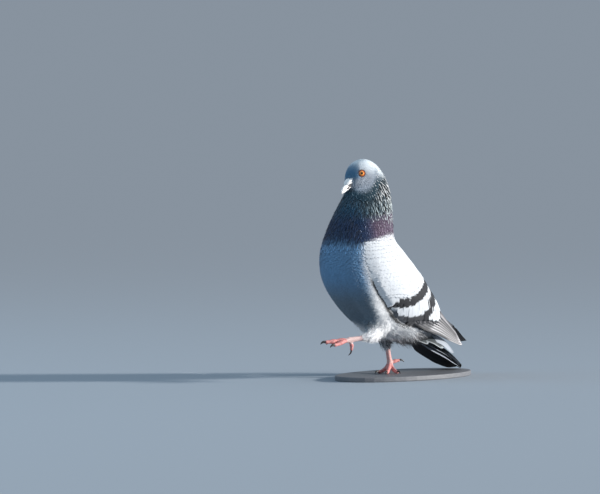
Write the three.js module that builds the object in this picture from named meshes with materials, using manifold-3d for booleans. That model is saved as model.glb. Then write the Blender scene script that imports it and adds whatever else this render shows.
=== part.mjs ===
// A life-size town pigeon, a blue-barred cock in full display, walking: one foot is down, the other is
// held out in front, the neck is blown up, and the closed tail brushes the ground behind.
// Millimetres, +Z up. The bird faces -Y and its left side is +X. It stands on a thin display base, whose
// underside is at z = 0, and the origin is under the middle of the whole piece.
import * as THREE from "three";
import { mergeVertices } from "three/addons/utils/BufferGeometryUtils.js";
import Module from "manifold-3d";

const wasm = await Module();
wasm.setup();

// ---- Driving sizes ----
const GAP = 0.3; // clear space between neighbouring solids
const BASE_HEIGHT = 6;
const SHANK_LENGTH = 31;
const EYE_RADIUS = 5.2;
const BILL_LENGTH = 19;

// A point of the bird: forward of the middle, above the ground and to its own left.
const at = (forward, up, left = 0) => new THREE.Vector3(left, -forward, up);
const LEFT = new THREE.Vector3(1, 0, 0);
const UP = new THREE.Vector3(0, 0, 1);

// ---- Geometry helpers ----

// A closed skin through equal rings of points, with a fan over each end.
function skinned(rings) {
  const count = rings[0].length;
  const points = rings.flat();
  const middle = (ring) =>
    ring.reduce((sum, p) => sum.add(p), new THREE.Vector3()).divideScalar(count);
  const index = [];
  for (let r = 0; r + 1 < rings.length; r++)
    for (let i = 0; i < count; i++) {
      const a = r * count + i;
      const b = r * count + ((i + 1) % count);
      index.push(a, b, a + count, b, b + count, a + count);
    }
  const first = points.length;
  points.push(middle(rings[0]), middle(rings.at(-1)));
  const lastRing = (rings.length - 1) * count;
  for (let i = 0; i < count; i++) {
    const next = (i + 1) % count;
    index.push(first, next, i);
    index.push(first + 1, lastRing + i, lastRing + next);
  }
  const geometry = new THREE.BufferGeometry().setFromPoints(points);
  geometry.setIndex(index);
  return geometry;
}

// A three.js geometry as a manifold-3d solid with its faces pointing out.
function solid(geometry) {
  geometry.deleteAttribute("normal");
  geometry.deleteAttribute("uv");
  const merged = mergeVertices(geometry, 1e-4);
  const make = (triangles) =>
    new wasm.Manifold(
      new wasm.Mesh({
        numProp: 3,
        vertProperties: merged.attributes.position.array,
        triVerts: new Uint32Array(triangles),
      }),
    );
  const triangles = Array.from(merged.index.array);
  const made = make(triangles);
  return made.volume() > 0 ? made : make(triangles.reverse());
}

function geometryOf(made) {
  const mesh = made.getMesh();
  const geometry = new THREE.BufferGeometry();
  geometry.setAttribute("position", new THREE.BufferAttribute(mesh.vertProperties, 3));
  geometry.setIndex(new THREE.BufferAttribute(mesh.triVerts, 1));
  return geometry;
}

// One oval ring: "across" and "rise" are its two half axes, and a fullness over 1 squares it a little.
function oval(centre, across, rise, count, fullness = 1) {
  const bulge = (x) => Math.sign(x) * Math.abs(x) ** (1 / fullness);
  return Array.from({ length: count }, (_, i) => {
    const angle = (i / count) * 2 * Math.PI;
    return centre
      .clone()
      .addScaledVector(rise, bulge(Math.cos(angle)))
      .addScaledVector(across, bulge(Math.sin(angle)));
  });
}

// A value read from evenly spaced stations, smoothly.
function along(values, t) {
  const curve = new THREE.CatmullRomCurve3(values.map((v) => new THREE.Vector3(v, 0, 0)));
  return curve.getPoint(t).x;
}

// A round or flattened limb along a smooth path. Each stop is [point, half width, half thickness], and
// "side" is the direction in which the half width is laid.
function limb(stops, { side = LEFT, steps = 12, count = 8, grow = 0 } = {}) {
  const path = new THREE.CatmullRomCurve3(stops.map((s) => s[0]));
  const widths = stops.map((s) => s[1] + grow);
  const thicknesses = stops.map((s) => (s[2] ?? s[1]) + grow);
  const rings = [];
  for (let i = 0; i <= steps; i++) {
    const t = i / steps;
    const way = path.getTangent(t);
    const rise = new THREE.Vector3().crossVectors(way, side).normalize();
    const across = new THREE.Vector3().crossVectors(rise, way).normalize();
    const centre = path.getPoint(t);
    if (i === 0) centre.addScaledVector(way, -grow);
    if (i === steps) centre.addScaledVector(way, grow);
    rings.push(
      oval(
        centre,
        across.multiplyScalar(along(widths, t)),
        rise.multiplyScalar(along(thicknesses, t)),
        count,
      ),
    );
  }
  return solid(skinned(rings));
}

function block(low, high) {
  const size = high.clone().sub(low);
  const geometry = new THREE.BoxGeometry(size.x, size.y, size.z);
  const middle = low.clone().add(high).multiplyScalar(0.5);
  return geometry.translate(middle.x, middle.y, middle.z);
}

// ---- Body: one smooth form from the bill's root to the tail's root ----
// Each station joins a point of the back line to one of the front line, with the half width between them.
// [back forward, back up, front forward, front up, half width]
const STATIONS = [
  [50.2, 240, 52.2, 231, 4.2],
  [48.9, 249.3, 51, 228.5, 8.4], // bill root
  [43, 258.2, 50.5, 226.5, 11.6], // forehead
  [29.5, 263, 50.5, 224.5, 13.5], // crown
  [15, 259.8, 51.5, 222.5, 15],
  [3, 250, 53, 218.5, 18], // back of the head
  [-4.5, 236.5, 56, 212, 22.8],
  [-8, 221, 61, 203, 28.3],
  [-8.5, 203, 67, 192, 33.2], // middle of the neck
  [-8, 185, 74.5, 178, 37],
  [-9, 167, 81, 162, 41], // foot of the neck
  [-22, 149, 86, 143, 44.5], // shoulders and breast
  [-39, 131, 84, 122, 46.5],
  [-53, 114, 74.5, 104, 46.5], // deepest part of the trunk
  [-64, 97, 60, 88, 44.5],
  [-73, 80, 39.5, 70, 41], // belly
  [-80, 66, 14, 54, 36],
  [-83, 56, -14, 45, 29], // vent
  [-86, 49, -42, 38.5, 21],
  [-88, 44, -68, 33.5, 13], // tail root
];
// The same stations with the folded wings over them, from the shoulders back.
const WINGED_FROM = 10;
const WINGED = [
  [-9, 167, 41],
  [-23.5, 151.5, 47],
  [-42, 134.5, 50.5],
  [-58, 118, 52],
  [-73, 101, 51],
  [-86, 85, 47],
  [-95, 71, 40.5],
  [-100, 60, 33],
  [-102, 53, 25],
  [-101, 46, 16],
];
const BODY_RINGS = 38;
const BODY_COUNT = 20;
const BODY_FULLNESS = 1.06;

const backLine = (rows) => new THREE.CatmullRomCurve3(rows.map((r) => at(r[0], r[1])));
const FRONT_LINE = new THREE.CatmullRomCurve3(STATIONS.map((r) => at(r[2], r[3])));

// The head looks a few degrees to the bird's right. The turn fades out down the neck.
const HEAD_TURN = THREE.MathUtils.degToRad(4);
const NECK_PIVOT = at(22, 0);
const TURN_FROM = 175;
const TURN_FULL = 235;
function turned(p) {
  const share = THREE.MathUtils.smoothstep(p.z, TURN_FROM, TURN_FULL);
  return p.sub(NECK_PIVOT).applyAxisAngle(UP, -HEAD_TURN * share).add(NECK_PIVOT);
}

function bodyForm(backs, halfWidths, grow) {
  const back = backLine(backs);
  const rings = [];
  for (let i = 0; i <= BODY_RINGS; i++) {
    const t = i / BODY_RINGS;
    const top = back.getPoint(t);
    const low = FRONT_LINE.getPoint(t);
    const rise = top.clone().sub(low).multiplyScalar(0.5);
    const centre = top.clone().add(low).multiplyScalar(0.5);
    rise.setLength(rise.length() + grow);
    if (i === 0) centre.addScaledVector(FRONT_LINE.getTangent(0), -2 * grow);
    const across = LEFT.clone().multiplyScalar(along(halfWidths, t) + grow);
    rings.push(oval(centre, across, rise, BODY_COUNT, BODY_FULLNESS).map(turned));
  }
  return solid(skinned(rings));
}
const bodyOf = (grow) => bodyForm(STATIONS, STATIONS.map((r) => r[4]), grow);
const body = bodyOf(0);
const bodyRoom = bodyOf(GAP);

const wingedRows = STATIONS.slice(0, WINGED_FROM).concat(WINGED);
const wingedWidths = STATIONS.slice(0, WINGED_FROM).map((r) => r[4]);
const winged = bodyForm(wingedRows, wingedWidths.concat(WINGED.map((r) => r[2])), 0);

// ---- Eyes and bill ----
const HEAD_PITCH = THREE.MathUtils.degToRad(27);
const EYE_PLACE = [39.8, 245.2, 10];
const eyeCentre = (sign) => turned(at(EYE_PLACE[0], EYE_PLACE[1], sign * EYE_PLACE[2]));
function eyeOf(sign, grow) {
  const ball = new THREE.SphereGeometry(EYE_RADIUS + grow, 12, 8);
  const place = eyeCentre(sign);
  return solid(ball.translate(place.x, place.y, place.z));
}

// The bill is set in the head's own direction, a little more than the head's own pitch.
const BILL_PITCH = HEAD_PITCH + THREE.MathUtils.degToRad(9);
const billWay = at(Math.cos(BILL_PITCH), -Math.sin(BILL_PITCH)).normalize();
const billRise = at(Math.sin(BILL_PITCH), Math.cos(BILL_PITCH)).normalize();
const BILL_ROOT = at(48.5, 233.6);
const onBill = (out, rise) =>
  turned(BILL_ROOT.clone().addScaledVector(billWay, out).addScaledVector(billRise, rise));
const billUpperOf = (grow) =>
  limb(
    [
      [onBill(-5, 1.6), 4, 2.6],
      [onBill(0.3 * BILL_LENGTH, 1.2), 3.1, 2.1],
      [onBill(0.62 * BILL_LENGTH, 1), 2.4, 1.9],
      [onBill(0.88 * BILL_LENGTH, 0.1), 1.6, 1.7],
      [onBill(1.0 * BILL_LENGTH, -1.9), 0.5, 0.7],
    ],
    { steps: 8, count: 8, grow },
  );
const billLower = limb(
  [
    [onBill(-5, -2.9), 3.6, 1.3],
    [onBill(0.3 * BILL_LENGTH, -2.6), 2.9, 1.1],
    [onBill(0.6 * BILL_LENGTH, -2.4), 2.1, 0.9],
    [onBill(0.86 * BILL_LENGTH, -2.5), 0.9, 0.5],
  ],
  { steps: 6, count: 8 },
);
// The pale, powdery swelling over the nostrils.
const cereOf = (sign) =>
  limb(
    [
      [onBill(-4.5, 4.2).addScaledVector(LEFT, sign * 2.4), 2, 1.8],
      [onBill(-0.5, 4.7).addScaledVector(LEFT, sign * 2.6), 2.9, 2.4],
      [onBill(4.5, 3.8).addScaledVector(LEFT, sign * 2), 2.2, 1.7],
      [onBill(7, 2.8).addScaledVector(LEFT, sign * 1.5), 0.8, 0.7],
    ],
    { steps: 5, count: 7 },
  );
const cere = cereOf(1).add(cereOf(-1));

// ---- Cuts between head, neck and trunk ----
const FAR = 400;
// All of space on one side of a tilted plane through a point, as a big box.
function beyond(point, pitch, up) {
  const box = block(
    new THREE.Vector3(-FAR, -FAR, up ? GAP / 2 : -FAR),
    new THREE.Vector3(FAR, FAR, up ? FAR : -GAP / 2),
  );
  box.rotateX(pitch);
  return solid(box.translate(point.x, point.y, point.z));
}
const HEAD_CUT = [at(24, 231), THREE.MathUtils.degToRad(16)];
const NECK_CUT = [at(35, 165), THREE.MathUtils.degToRad(2)];

// ---- Wings: what stands proud of the body between the lower edge and the back ----
// The outline of the left wing from the side, [forward, up], clockwise from the hidden wrist.
const WING_EDGE = [
  [64, 152],
  [58.5, 130],
  [48, 110],
  [32, 91],
  [15, 72.5],
  [0, 63.5],
  [-24, 57.5],
  [-60, 50],
  [-90, 50],
  [-103, 56],
];
const SHOULDER_STRIP = 13; // half the width of the back that shows between the shoulders
const RUMP_STRIP = 1.5;
const STRIP_FRONT = 10;
const STRIP_REAR = -100;

function wingRoom(sign) {
  const edge = new THREE.CatmullRomCurve3(WING_EDGE.map(([f, z]) => new THREE.Vector3(f, z, 0)));
  const shape = new THREE.Shape(edge.getPoints(24).map((p) => new THREE.Vector2(p.x, p.y)));
  shape.lineTo(-125, 62);
  shape.lineTo(-125, 190);
  shape.lineTo(64, 190);
  const depth = 90;
  const slab = new THREE.ExtrudeGeometry(shape, { depth, bevelEnabled: false });
  // The shape's x is forward and its y is up: forward becomes -Y, and the depth becomes sideways.
  const lay = new THREE.Matrix4().makeBasis(
    new THREE.Vector3(0, -1, 0),
    new THREE.Vector3(0, 0, 1),
    new THREE.Vector3(-1, 0, 0),
  );
  slab.applyMatrix4(lay);
  if (sign > 0) slab.translate(depth, 0, 0);
  const length = STRIP_FRONT - STRIP_REAR;
  const lean = Math.atan2(SHOULDER_STRIP - RUMP_STRIP, length);
  const side = block(new THREE.Vector3(0, -FAR, -FAR), new THREE.Vector3(FAR, FAR, FAR));
  side.rotateZ(lean);
  side.translate(SHOULDER_STRIP, -STRIP_FRONT, 0);
  if (sign < 0) side.applyMatrix4(new THREE.Matrix4().makeScale(-1, 1, 1));
  return solid(slab).intersect(solid(side));
}

// ---- Primaries: the long flight feathers of each folded wing, as one thin curved blade ----
const primariesOf = (sign, tip, lift, grow = 0) =>
  limb(
    [
      [at(-52, 80 + lift, sign * 25), 14, 1.8],
      [at(-76, 65 + lift, sign * 17.5), 13.5, 1.8],
      [at(-100, 53 + lift, sign * 11), 13, 1.6],
      [at(-122, 42 + lift, sign * 6.5), 11, 1.3],
      [tip, 4.4, 0.8],
    ],
    {
      side: new THREE.Vector3(sign * 0.62, 0.2, -0.75).normalize(),
      steps: 10,
      count: 8,
      grow,
    },
  );
const LEFT_BLADE = [1, at(-140, 29.5, 4), -4];
const RIGHT_BLADE = [-1, at(-155, 39.5, 0), 9];

// ---- Tail: twelve closed feathers, as one thin tapering solid ----
const tailOf = (grow) =>
  limb(
    [
      [at(-62, 46.5), 12, 4],
      [at(-84, 38), 18.5, 3.6],
      [at(-106, 28.5), 20.5, 3.4],
      [at(-125, 17.5), 19, 2.8],
      [at(-136, 9.5), 15, 2],
      [at(-144, 3), 8, 1],
    ],
    { steps: 10, count: 12, grow },
  );

// ---- Legs ----
// The right leg stands. The left leg is held out in front, its shank level and its toes together.
const RIGHT_HEEL = at(-25, 41.5, -11.5);
const RIGHT_FOOT = at(-29, 12.5, -9);
const LEFT_HEEL = at(39, 49, 25);
const LEFT_FOOT = at(66, 45.5, 14);

const thighRightOf = (grow) =>
  limb(
    [
      [at(-6, 88, -16), 24],
      [at(-12, 68, -15), 17],
      [at(-18.5, 52, -13.2), 10.5],
      [at(-23.5, 40, -11.6), 6],
      [at(-26.3, 30.5, -10.7), 3.8],
    ],
    { steps: 8, count: 10, grow },
  );
const thighLeftOf = (grow) =>
  limb(
    [
      [at(-2, 92, 15), 26],
      [at(10, 76, 17.5), 21.5],
      [at(22, 64, 20.5), 15.5],
      [at(32, 55.5, 23.5), 10.5],
      [LEFT_HEEL.clone().add(at(1, 0.5, 0)), 7.2],
      [at(47.5, 48, 21.5), 3.9],
    ],
    { steps: 8, count: 10, grow },
  );
const shankOf = (heel, foot, grow = 0) => {
  const down = foot.clone().sub(heel).normalize();
  return limb(
    [
      [foot.clone().addScaledVector(down, -SHANK_LENGTH + 3), 3.2],
      [foot.clone().addScaledVector(down, -SHANK_LENGTH / 2), 3],
      [foot.clone().addScaledVector(down, -5), 3.2],
      [foot.clone().addScaledVector(down, 1.5), 3.8],
    ],
    { steps: 6, count: 8, grow },
  );
};

// A toe lies in the upright plane of its own heading, an angle from straight ahead towards the left.
// Each stop is [out, up, radius], measured from the foot's joint. A flattened sole rests on the base.
const heading = (degrees) => {
  const angle = THREE.MathUtils.degToRad(degrees);
  return at(Math.cos(angle), 0, Math.sin(angle));
};
const digit = (joint, degrees, stops, options) =>
  limb(
    stops.map(([out, up, radius]) => {
      const place = joint.clone().addScaledVector(heading(degrees), out);
      place.z += up;
      return [place, radius];
    }),
    {
      side: new THREE.Vector3().crossVectors(UP, heading(degrees)),
      steps: 8,
      count: 6,
      ...options,
    },
  );

// Standing toes run down from the raised joint and flatten out on the ground.
function standingToe(length, radius) {
  const joint = RIGHT_FOOT.z;
  const down = radius - joint;
  return {
    toe: [
      [1, -0.5, radius + 0.5],
      [0.3 * length, 0.52 * down, radius + 0.2],
      [0.6 * length, 0.88 * down, radius],
      [0.82 * length, down, radius * 1.02],
      [length, down, radius * 0.8],
    ],
    claw: [
      [length - 1, down + 0.3, radius * 0.62],
      [length + 2.4, down + 0.9, radius * 0.56],
      [length + 4.8, down, radius * 0.36],
      [length + 6.4, 0.35 - joint, 0.3],
    ],
  };
}
// Raised toes hang together, each a little lower than the joint.
function raisedToe(length, radius, drop) {
  return {
    toe: [
      [1, -0.2, radius + 0.4],
      [0.35 * length, -0.25 * drop, radius + 0.1],
      [0.7 * length, -0.75 * drop, radius],
      [length, -drop, radius * 0.75],
    ],
    claw: [
      [length - 1, 0.2 - drop, radius * 0.6],
      [length + 2.4, 0.3 - drop, radius * 0.55],
      [length + 4.8, -0.9 - drop, radius * 0.36],
      [length + 6.2, -2.6 - drop, 0.3],
    ],
  };
}
// [name, heading, toe and claw stops]
const RIGHT_TOES = [
  ["inner", 74, standingToe(19, 2.2)],
  ["middle", 35, standingToe(27, 2.4)],
  ["outer", 1, standingToe(21, 2.2)],
  [
    "hind",
    160,
    {
      toe: [
        [1, 0.6, 2.6],
        [5, 1.2, 2.4],
        [9, 2.2, 2.3],
        [13, 2.6, 1.8],
      ],
      claw: [
        [12, 2.9, 1.2],
        [15.4, 3.2, 1.1],
        [18, 2, 0.75],
        [19.6, 0.2, 0.3],
      ],
    },
  ],
];
const LEFT_TOES = [
  ["inner", -39, raisedToe(22, 2.5, 3)],
  ["middle", -22, raisedToe(32, 2.7, 2)],
  ["outer", -4, raisedToe(25, 2.5, 5.5)],
  [
    "hind",
    150,
    {
      toe: [
        [0.4, -1.5, 2.5],
        [2.2, -5, 2.3],
        [2.6, -8.6, 2.2],
        [2.2, -12.5, 1.7],
      ],
      claw: [
        [2.3, -11.6, 1.1],
        [1.7, -14.8, 1],
        [0.2, -17, 0.7],
        [-1.8, -18.6, 0.3],
      ],
    },
  ],
];

// ---- Base ----
const BASE_MIDDLE = -45; // forward
const BASE_HALF = [108, 55]; // half length and half width
const BASE_BEVEL = 1.2;
function base() {
  const outline = new THREE.Shape().absellipse(
    0,
    0,
    BASE_HALF[1] - BASE_BEVEL,
    BASE_HALF[0] - BASE_BEVEL,
    0,
    2 * Math.PI,
  );
  const plate = new THREE.ExtrudeGeometry(outline, {
    depth: BASE_HEIGHT - 2 * BASE_BEVEL,
    bevelThickness: BASE_BEVEL,
    bevelSize: BASE_BEVEL,
    bevelSegments: 2,
    curveSegments: 20,
  });
  return solid(plate.translate(0, -BASE_MIDDLE, BASE_BEVEL - BASE_HEIGHT));
}

// ---- Put together ----
const pieces = []; // [name, solid, material]
const paint = (color, roughness, metalness = 0) =>
  new THREE.MeshStandardMaterial({ color, roughness, metalness });
const PAINTS = {
  grey: paint(0x9aa6b4, 0.75),
  neck: paint(0x3b5a5c, 0.45, 0.2),
  pale: paint(0xc3c8d0, 0.75),
  slate: paint(0x4a4f58, 0.7),
  flesh: paint(0xc4606a, 0.6),
  horn: paint(0x3a3436, 0.4),
  bill: paint(0x4a474c, 0.4),
  chalk: paint(0xe6e2df, 0.9),
  eye: paint(0xd9661c, 0.1),
  base: paint(0x77706a, 0.6),
};
const add = (name, made, material) => pieces.push([name, made, PAINTS[material]]);

const eyeRooms = eyeOf(1, GAP).add(eyeOf(-1, GAP));
const billRoom = billUpperOf(GAP);
add("head", body.intersect(beyond(...HEAD_CUT, true)).subtract(eyeRooms), "grey");
add("neck", body.intersect(beyond(...HEAD_CUT, false)).intersect(beyond(...NECK_CUT, true)), "neck");
add("trunk", body.intersect(beyond(...NECK_CUT, false)), "pale");
add("eye_left", eyeOf(1, 0), "eye");
add("eye_right", eyeOf(-1, 0), "eye");
add("bill_upper", billUpperOf(0).subtract(bodyRoom), "bill");
add("bill_lower", billLower.subtract(bodyRoom).subtract(billRoom), "bill");
add("cere", cere.subtract(bodyRoom).subtract(billRoom), "chalk");

const GROUND = solid(block(new THREE.Vector3(-FAR, -FAR, -FAR), new THREE.Vector3(FAR, FAR, GAP)));
const thighRooms = thighRightOf(GAP).add(thighLeftOf(GAP));
const bladeRoomRight = primariesOf(...RIGHT_BLADE, GAP);
const bladeRooms = primariesOf(...LEFT_BLADE, GAP).add(bladeRoomRight);
const besideWings = bodyRoom.add(bladeRooms).add(thighRooms).add(tailOf(GAP));
add("wing_left", largest(winged.intersect(wingRoom(1)).subtract(besideWings)), "pale");
add("wing_right", largest(winged.intersect(wingRoom(-1)).subtract(besideWings)), "pale");
// The right wing's tip lies over the left one's.
const overLeft = bodyRoom.add(bladeRoomRight);
add("primaries_left", largest(primariesOf(...LEFT_BLADE).subtract(overLeft)), "slate");
add("primaries_right", largest(primariesOf(...RIGHT_BLADE).subtract(bodyRoom)), "slate");
add("tail", largest(tailOf(0).subtract(bodyRoom).subtract(GROUND)), "slate");

function largest(made) {
  return made.decompose().sort((a, b) => b.volume() - a.volume())[0];
}

for (const [side, thigh, heel, foot, toes] of [
  ["right", thighRightOf(0), RIGHT_HEEL, RIGHT_FOOT, RIGHT_TOES],
  ["left", thighLeftOf(0), LEFT_HEEL, LEFT_FOOT, LEFT_TOES],
]) {
  const shankRoom = shankOf(heel, foot, GAP);
  add("thigh_" + side, largest(thigh.subtract(bodyRoom).subtract(shankRoom)), "grey");
  add("shank_" + side, shankOf(heel, foot).subtract(bodyRoom), "flesh");
  let taken = shankRoom.add(GROUND);
  for (const [name, degrees, { toe, claw }] of toes) {
    const made = largest(digit(foot, degrees, toe).subtract(taken));
    const room = digit(foot, degrees, toe, { grow: GAP });
    const nail = digit(foot, degrees, claw, { steps: 5 });
    add(`toe_${side}_${name}`, made, "flesh");
    add(`claw_${side}_${name}`, largest(nail.subtract(room).subtract(GROUND)), "horn");
    taken = taken.add(room);
  }
}
add("stand_base", base(), "base");

const pigeon = new THREE.Group();
for (const [name, made, material] of pieces) {
  const mesh = new THREE.Mesh(geometryOf(made), material);
  mesh.name = name;
  pigeon.add(mesh);
}
const box = new THREE.Box3().setFromObject(pigeon);
const middle = box.getCenter(new THREE.Vector3());
pigeon.position.set(-middle.x, -middle.y, -box.min.z);
export default pigeon;
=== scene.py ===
# %% [markdown]
# # A town pigeon, feather by feather
# This lesson builds a life-size pigeon as a museum would show it: a smooth skin, a coat of many thousand
# small vanes laid over it, and the hard parts, which are eyes, bill, claws and a display base. The packed
# model is the frame. It gives the size and the place of everything, and nothing here may leave it.

import math
from itertools import product

import bpy
import numpy as np
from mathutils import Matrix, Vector
from mathutils.kdtree import KDTree

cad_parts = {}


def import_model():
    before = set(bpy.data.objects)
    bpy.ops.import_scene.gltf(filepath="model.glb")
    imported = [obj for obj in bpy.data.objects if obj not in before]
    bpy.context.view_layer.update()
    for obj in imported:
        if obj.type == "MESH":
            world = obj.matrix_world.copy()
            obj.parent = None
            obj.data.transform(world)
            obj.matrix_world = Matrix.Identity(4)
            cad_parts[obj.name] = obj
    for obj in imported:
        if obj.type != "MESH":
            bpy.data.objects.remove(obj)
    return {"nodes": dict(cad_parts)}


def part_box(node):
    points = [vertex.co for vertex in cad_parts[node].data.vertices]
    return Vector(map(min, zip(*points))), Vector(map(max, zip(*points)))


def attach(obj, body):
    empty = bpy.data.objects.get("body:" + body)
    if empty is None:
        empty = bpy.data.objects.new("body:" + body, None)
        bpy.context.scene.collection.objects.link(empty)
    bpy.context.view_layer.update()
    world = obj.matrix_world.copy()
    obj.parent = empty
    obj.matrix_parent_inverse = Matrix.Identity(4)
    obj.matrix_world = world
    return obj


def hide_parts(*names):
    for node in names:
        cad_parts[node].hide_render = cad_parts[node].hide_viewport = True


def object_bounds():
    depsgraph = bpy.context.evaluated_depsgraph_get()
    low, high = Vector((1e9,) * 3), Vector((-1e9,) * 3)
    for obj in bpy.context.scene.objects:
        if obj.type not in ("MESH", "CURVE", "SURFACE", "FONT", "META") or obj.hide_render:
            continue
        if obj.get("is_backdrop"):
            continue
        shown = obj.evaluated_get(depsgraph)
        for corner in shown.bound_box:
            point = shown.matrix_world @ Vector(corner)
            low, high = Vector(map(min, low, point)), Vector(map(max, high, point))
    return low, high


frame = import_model()
cad_low, cad_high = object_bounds()
print("frame:", len(frame["nodes"]), "nodes, box", tuple(cad_low), tuple(cad_high))

# %% [markdown]
# ## Places on the bird
# A bird is easiest to describe in its own directions: forward, up and to its left, in millimetres from a
# point on the floor under its middle. `at` writes such a point, and `world` turns any array of them into
# Blender's metres. The display base tells where that floor point is.

# %% The bird's own directions
base_low, base_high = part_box("stand_base")
BASE_MIDDLE = -45.0  # the base's middle lies this far forward of the bird's own zero
MILLIMETRE = 0.001
ZERO = np.array((base_low + base_high) / 2)
ZERO[1] += BASE_MIDDLE * MILLIMETRE
ZERO[2] = base_high.z
TAU = 2 * math.pi
LEFT = np.array([1.0, 0.0, 0.0])
UP = np.array([0.0, 0.0, 1.0])


def at(forward, up, left=0.0):
    return np.array([left, -forward, up], float)


def world(points):
    return np.asarray(points, float) / 1000 + ZERO


def unit(v):
    return v / np.maximum(np.linalg.norm(v, axis=-1, keepdims=True), 1e-12)


def rise(x, low, high):
    """0 below low, 1 above high, and a smooth S between them."""
    s = np.clip((np.asarray(x, float) - low) / (high - low), 0, 1)
    return s * s * (3 - 2 * s)


print("the bird's zero is at", ZERO)

# %% [markdown]
# ## Camera, floor and light
# The camera stands a little above the bird's head, well away from it, so the lens is long and the bird
# keeps its true proportions. One strong low lamp from the picture's right draws the edge of the light down
# the neck and the breast. It is a sun lamp, which lights the whole floor alike, so the floor is given just
# the colour that makes it melt into the air behind. Two weak cool lamps fill the shaded front and the
# crown, and two narrow spots pick out the bill and the raised knee, which stand free in the same low light.

# %% Camera
FRAME_WIDTH, FRAME_HEIGHT = 600, 494
CAMERA_AZIMUTH = math.radians(45)
FOCAL_PIXELS = 2800.0
DISTANCE = 3.416
CAMERA_UP = 0.246
BIRD_COLUMN = 379.0  # the column of the picture in which the bird's zero stands
HORIZON_ROW = 173.0
SENSOR = 36.0

towards = Vector((math.sin(CAMERA_AZIMUTH), -math.cos(CAMERA_AZIMUTH), 0))
rightwards = Vector((math.cos(CAMERA_AZIMUTH), math.sin(CAMERA_AZIMUTH), 0))
camera_data = bpy.data.cameras.new("camera")
camera_data.sensor_width = SENSOR
camera_data.lens = FOCAL_PIXELS / FRAME_WIDTH * SENSOR
camera = bpy.data.objects.new("camera", camera_data)
bpy.context.scene.collection.objects.link(camera)
sideways = (FRAME_WIDTH / 2 - BIRD_COLUMN) * DISTANCE / FOCAL_PIXELS
camera.location = Vector(ZERO) + towards * DISTANCE + rightwards * sideways
camera.location.z = ZERO[2] + CAMERA_UP
pitch = math.atan2(FRAME_HEIGHT / 2 - HORIZON_ROW, FOCAL_PIXELS)
look = -towards * math.cos(pitch) - Vector((0, 0, 1)) * math.sin(pitch)
camera.rotation_euler = look.to_track_quat("-Z", "Y").to_euler()
bpy.context.scene.camera = camera
bpy.context.scene.view_settings.view_transform = "Standard"
print("lens", round(camera_data.lens), "mm, pitch", round(math.degrees(pitch), 2))

# %% Lamps and the air around
scene = bpy.context.scene
air = bpy.data.worlds.new("air")
scene.world = air
air.use_nodes = True
sky = air.node_tree.nodes["Background"]
AIR = np.array([0.245, 0.290, 0.345])
sky.inputs["Color"].default_value = (*AIR, 1)
SUN_AZIMUTH, SUN_HEIGHT = 132.5, 13.0
SUN_COLOUR = np.array([1.0, 0.975, 0.94])
SUN_WHITE = 1.58  # how bright the sun alone makes a white sheet that faces it
sun_data = bpy.data.lights.new("key_sun", "SUN")
sun_data.energy, sun_data.color = SUN_WHITE * math.pi, SUN_COLOUR
sun_data.angle = math.radians(5)
sun = bpy.data.objects.new("key_sun", sun_data)
scene.collection.objects.link(sun)


def from_bird(azimuth, height):
    """The way from the bird to a lamp, for an azimuth and a height above the floor, in degrees."""
    turn, lift = math.radians(azimuth), math.radians(height)
    return Vector((math.sin(turn) * math.cos(lift), -math.cos(turn) * math.cos(lift), math.sin(lift)))


def point_lamp(lamp, way, aim, distance):
    lamp.location = aim + way * distance
    lamp.rotation_euler = (-way).to_track_quat("-Z", "Y").to_euler()


point_lamp(sun, from_bird(SUN_AZIMUTH, SUN_HEIGHT), Vector((0, 0, 0)), 3.0)
FLOOR_COLOUR = AIR / (AIR + SUN_COLOUR * SUN_WHITE * math.sin(math.radians(SUN_HEIGHT)))


def soft_lamp(name, kind, azimuth, height, distance, aim, power, colour, **settings):
    data = bpy.data.lights.new(name, kind)
    data.energy, data.color = power, colour
    for key, value in settings.items():
        setattr(data, key, value)
    lamp = bpy.data.objects.new(name, data)
    scene.collection.objects.link(lamp)
    point_lamp(lamp, from_bird(azimuth, height), Vector(world(aim)), distance)


MIDDLE = at(0, 130)
soft_lamp("front_fill", "AREA", -30, 35, 3.0, MIDDLE, 16, (0.30, 0.70, 1.0), shape="DISK", size=2.2)
soft_lamp("top_fill", "AREA", 70, 68, 3.0, MIDDLE, 12, (0.90, 0.96, 1.0), shape="DISK", size=1.6)
NARROW = {"spot_size": 0.025, "spot_blend": 0.4, "shadow_soft_size": 0.01}
for name, aim, power in (("bill_spot", at(56, 229), 48), ("knee_spot", at(42, 48, 20), 56)):
    soft_lamp(name, "SPOT", 98, 14, 1.0, aim, power, (1.0, 0.98, 0.95), **NARROW)

# %% [markdown]
# ## Shader maths as sums
# A material is a small program of nodes. Written by hand, each product and sum is a node with two links.
# The class below wraps one socket of one node, so that `1 - mask * 0.5` adds those nodes itself.


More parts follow.
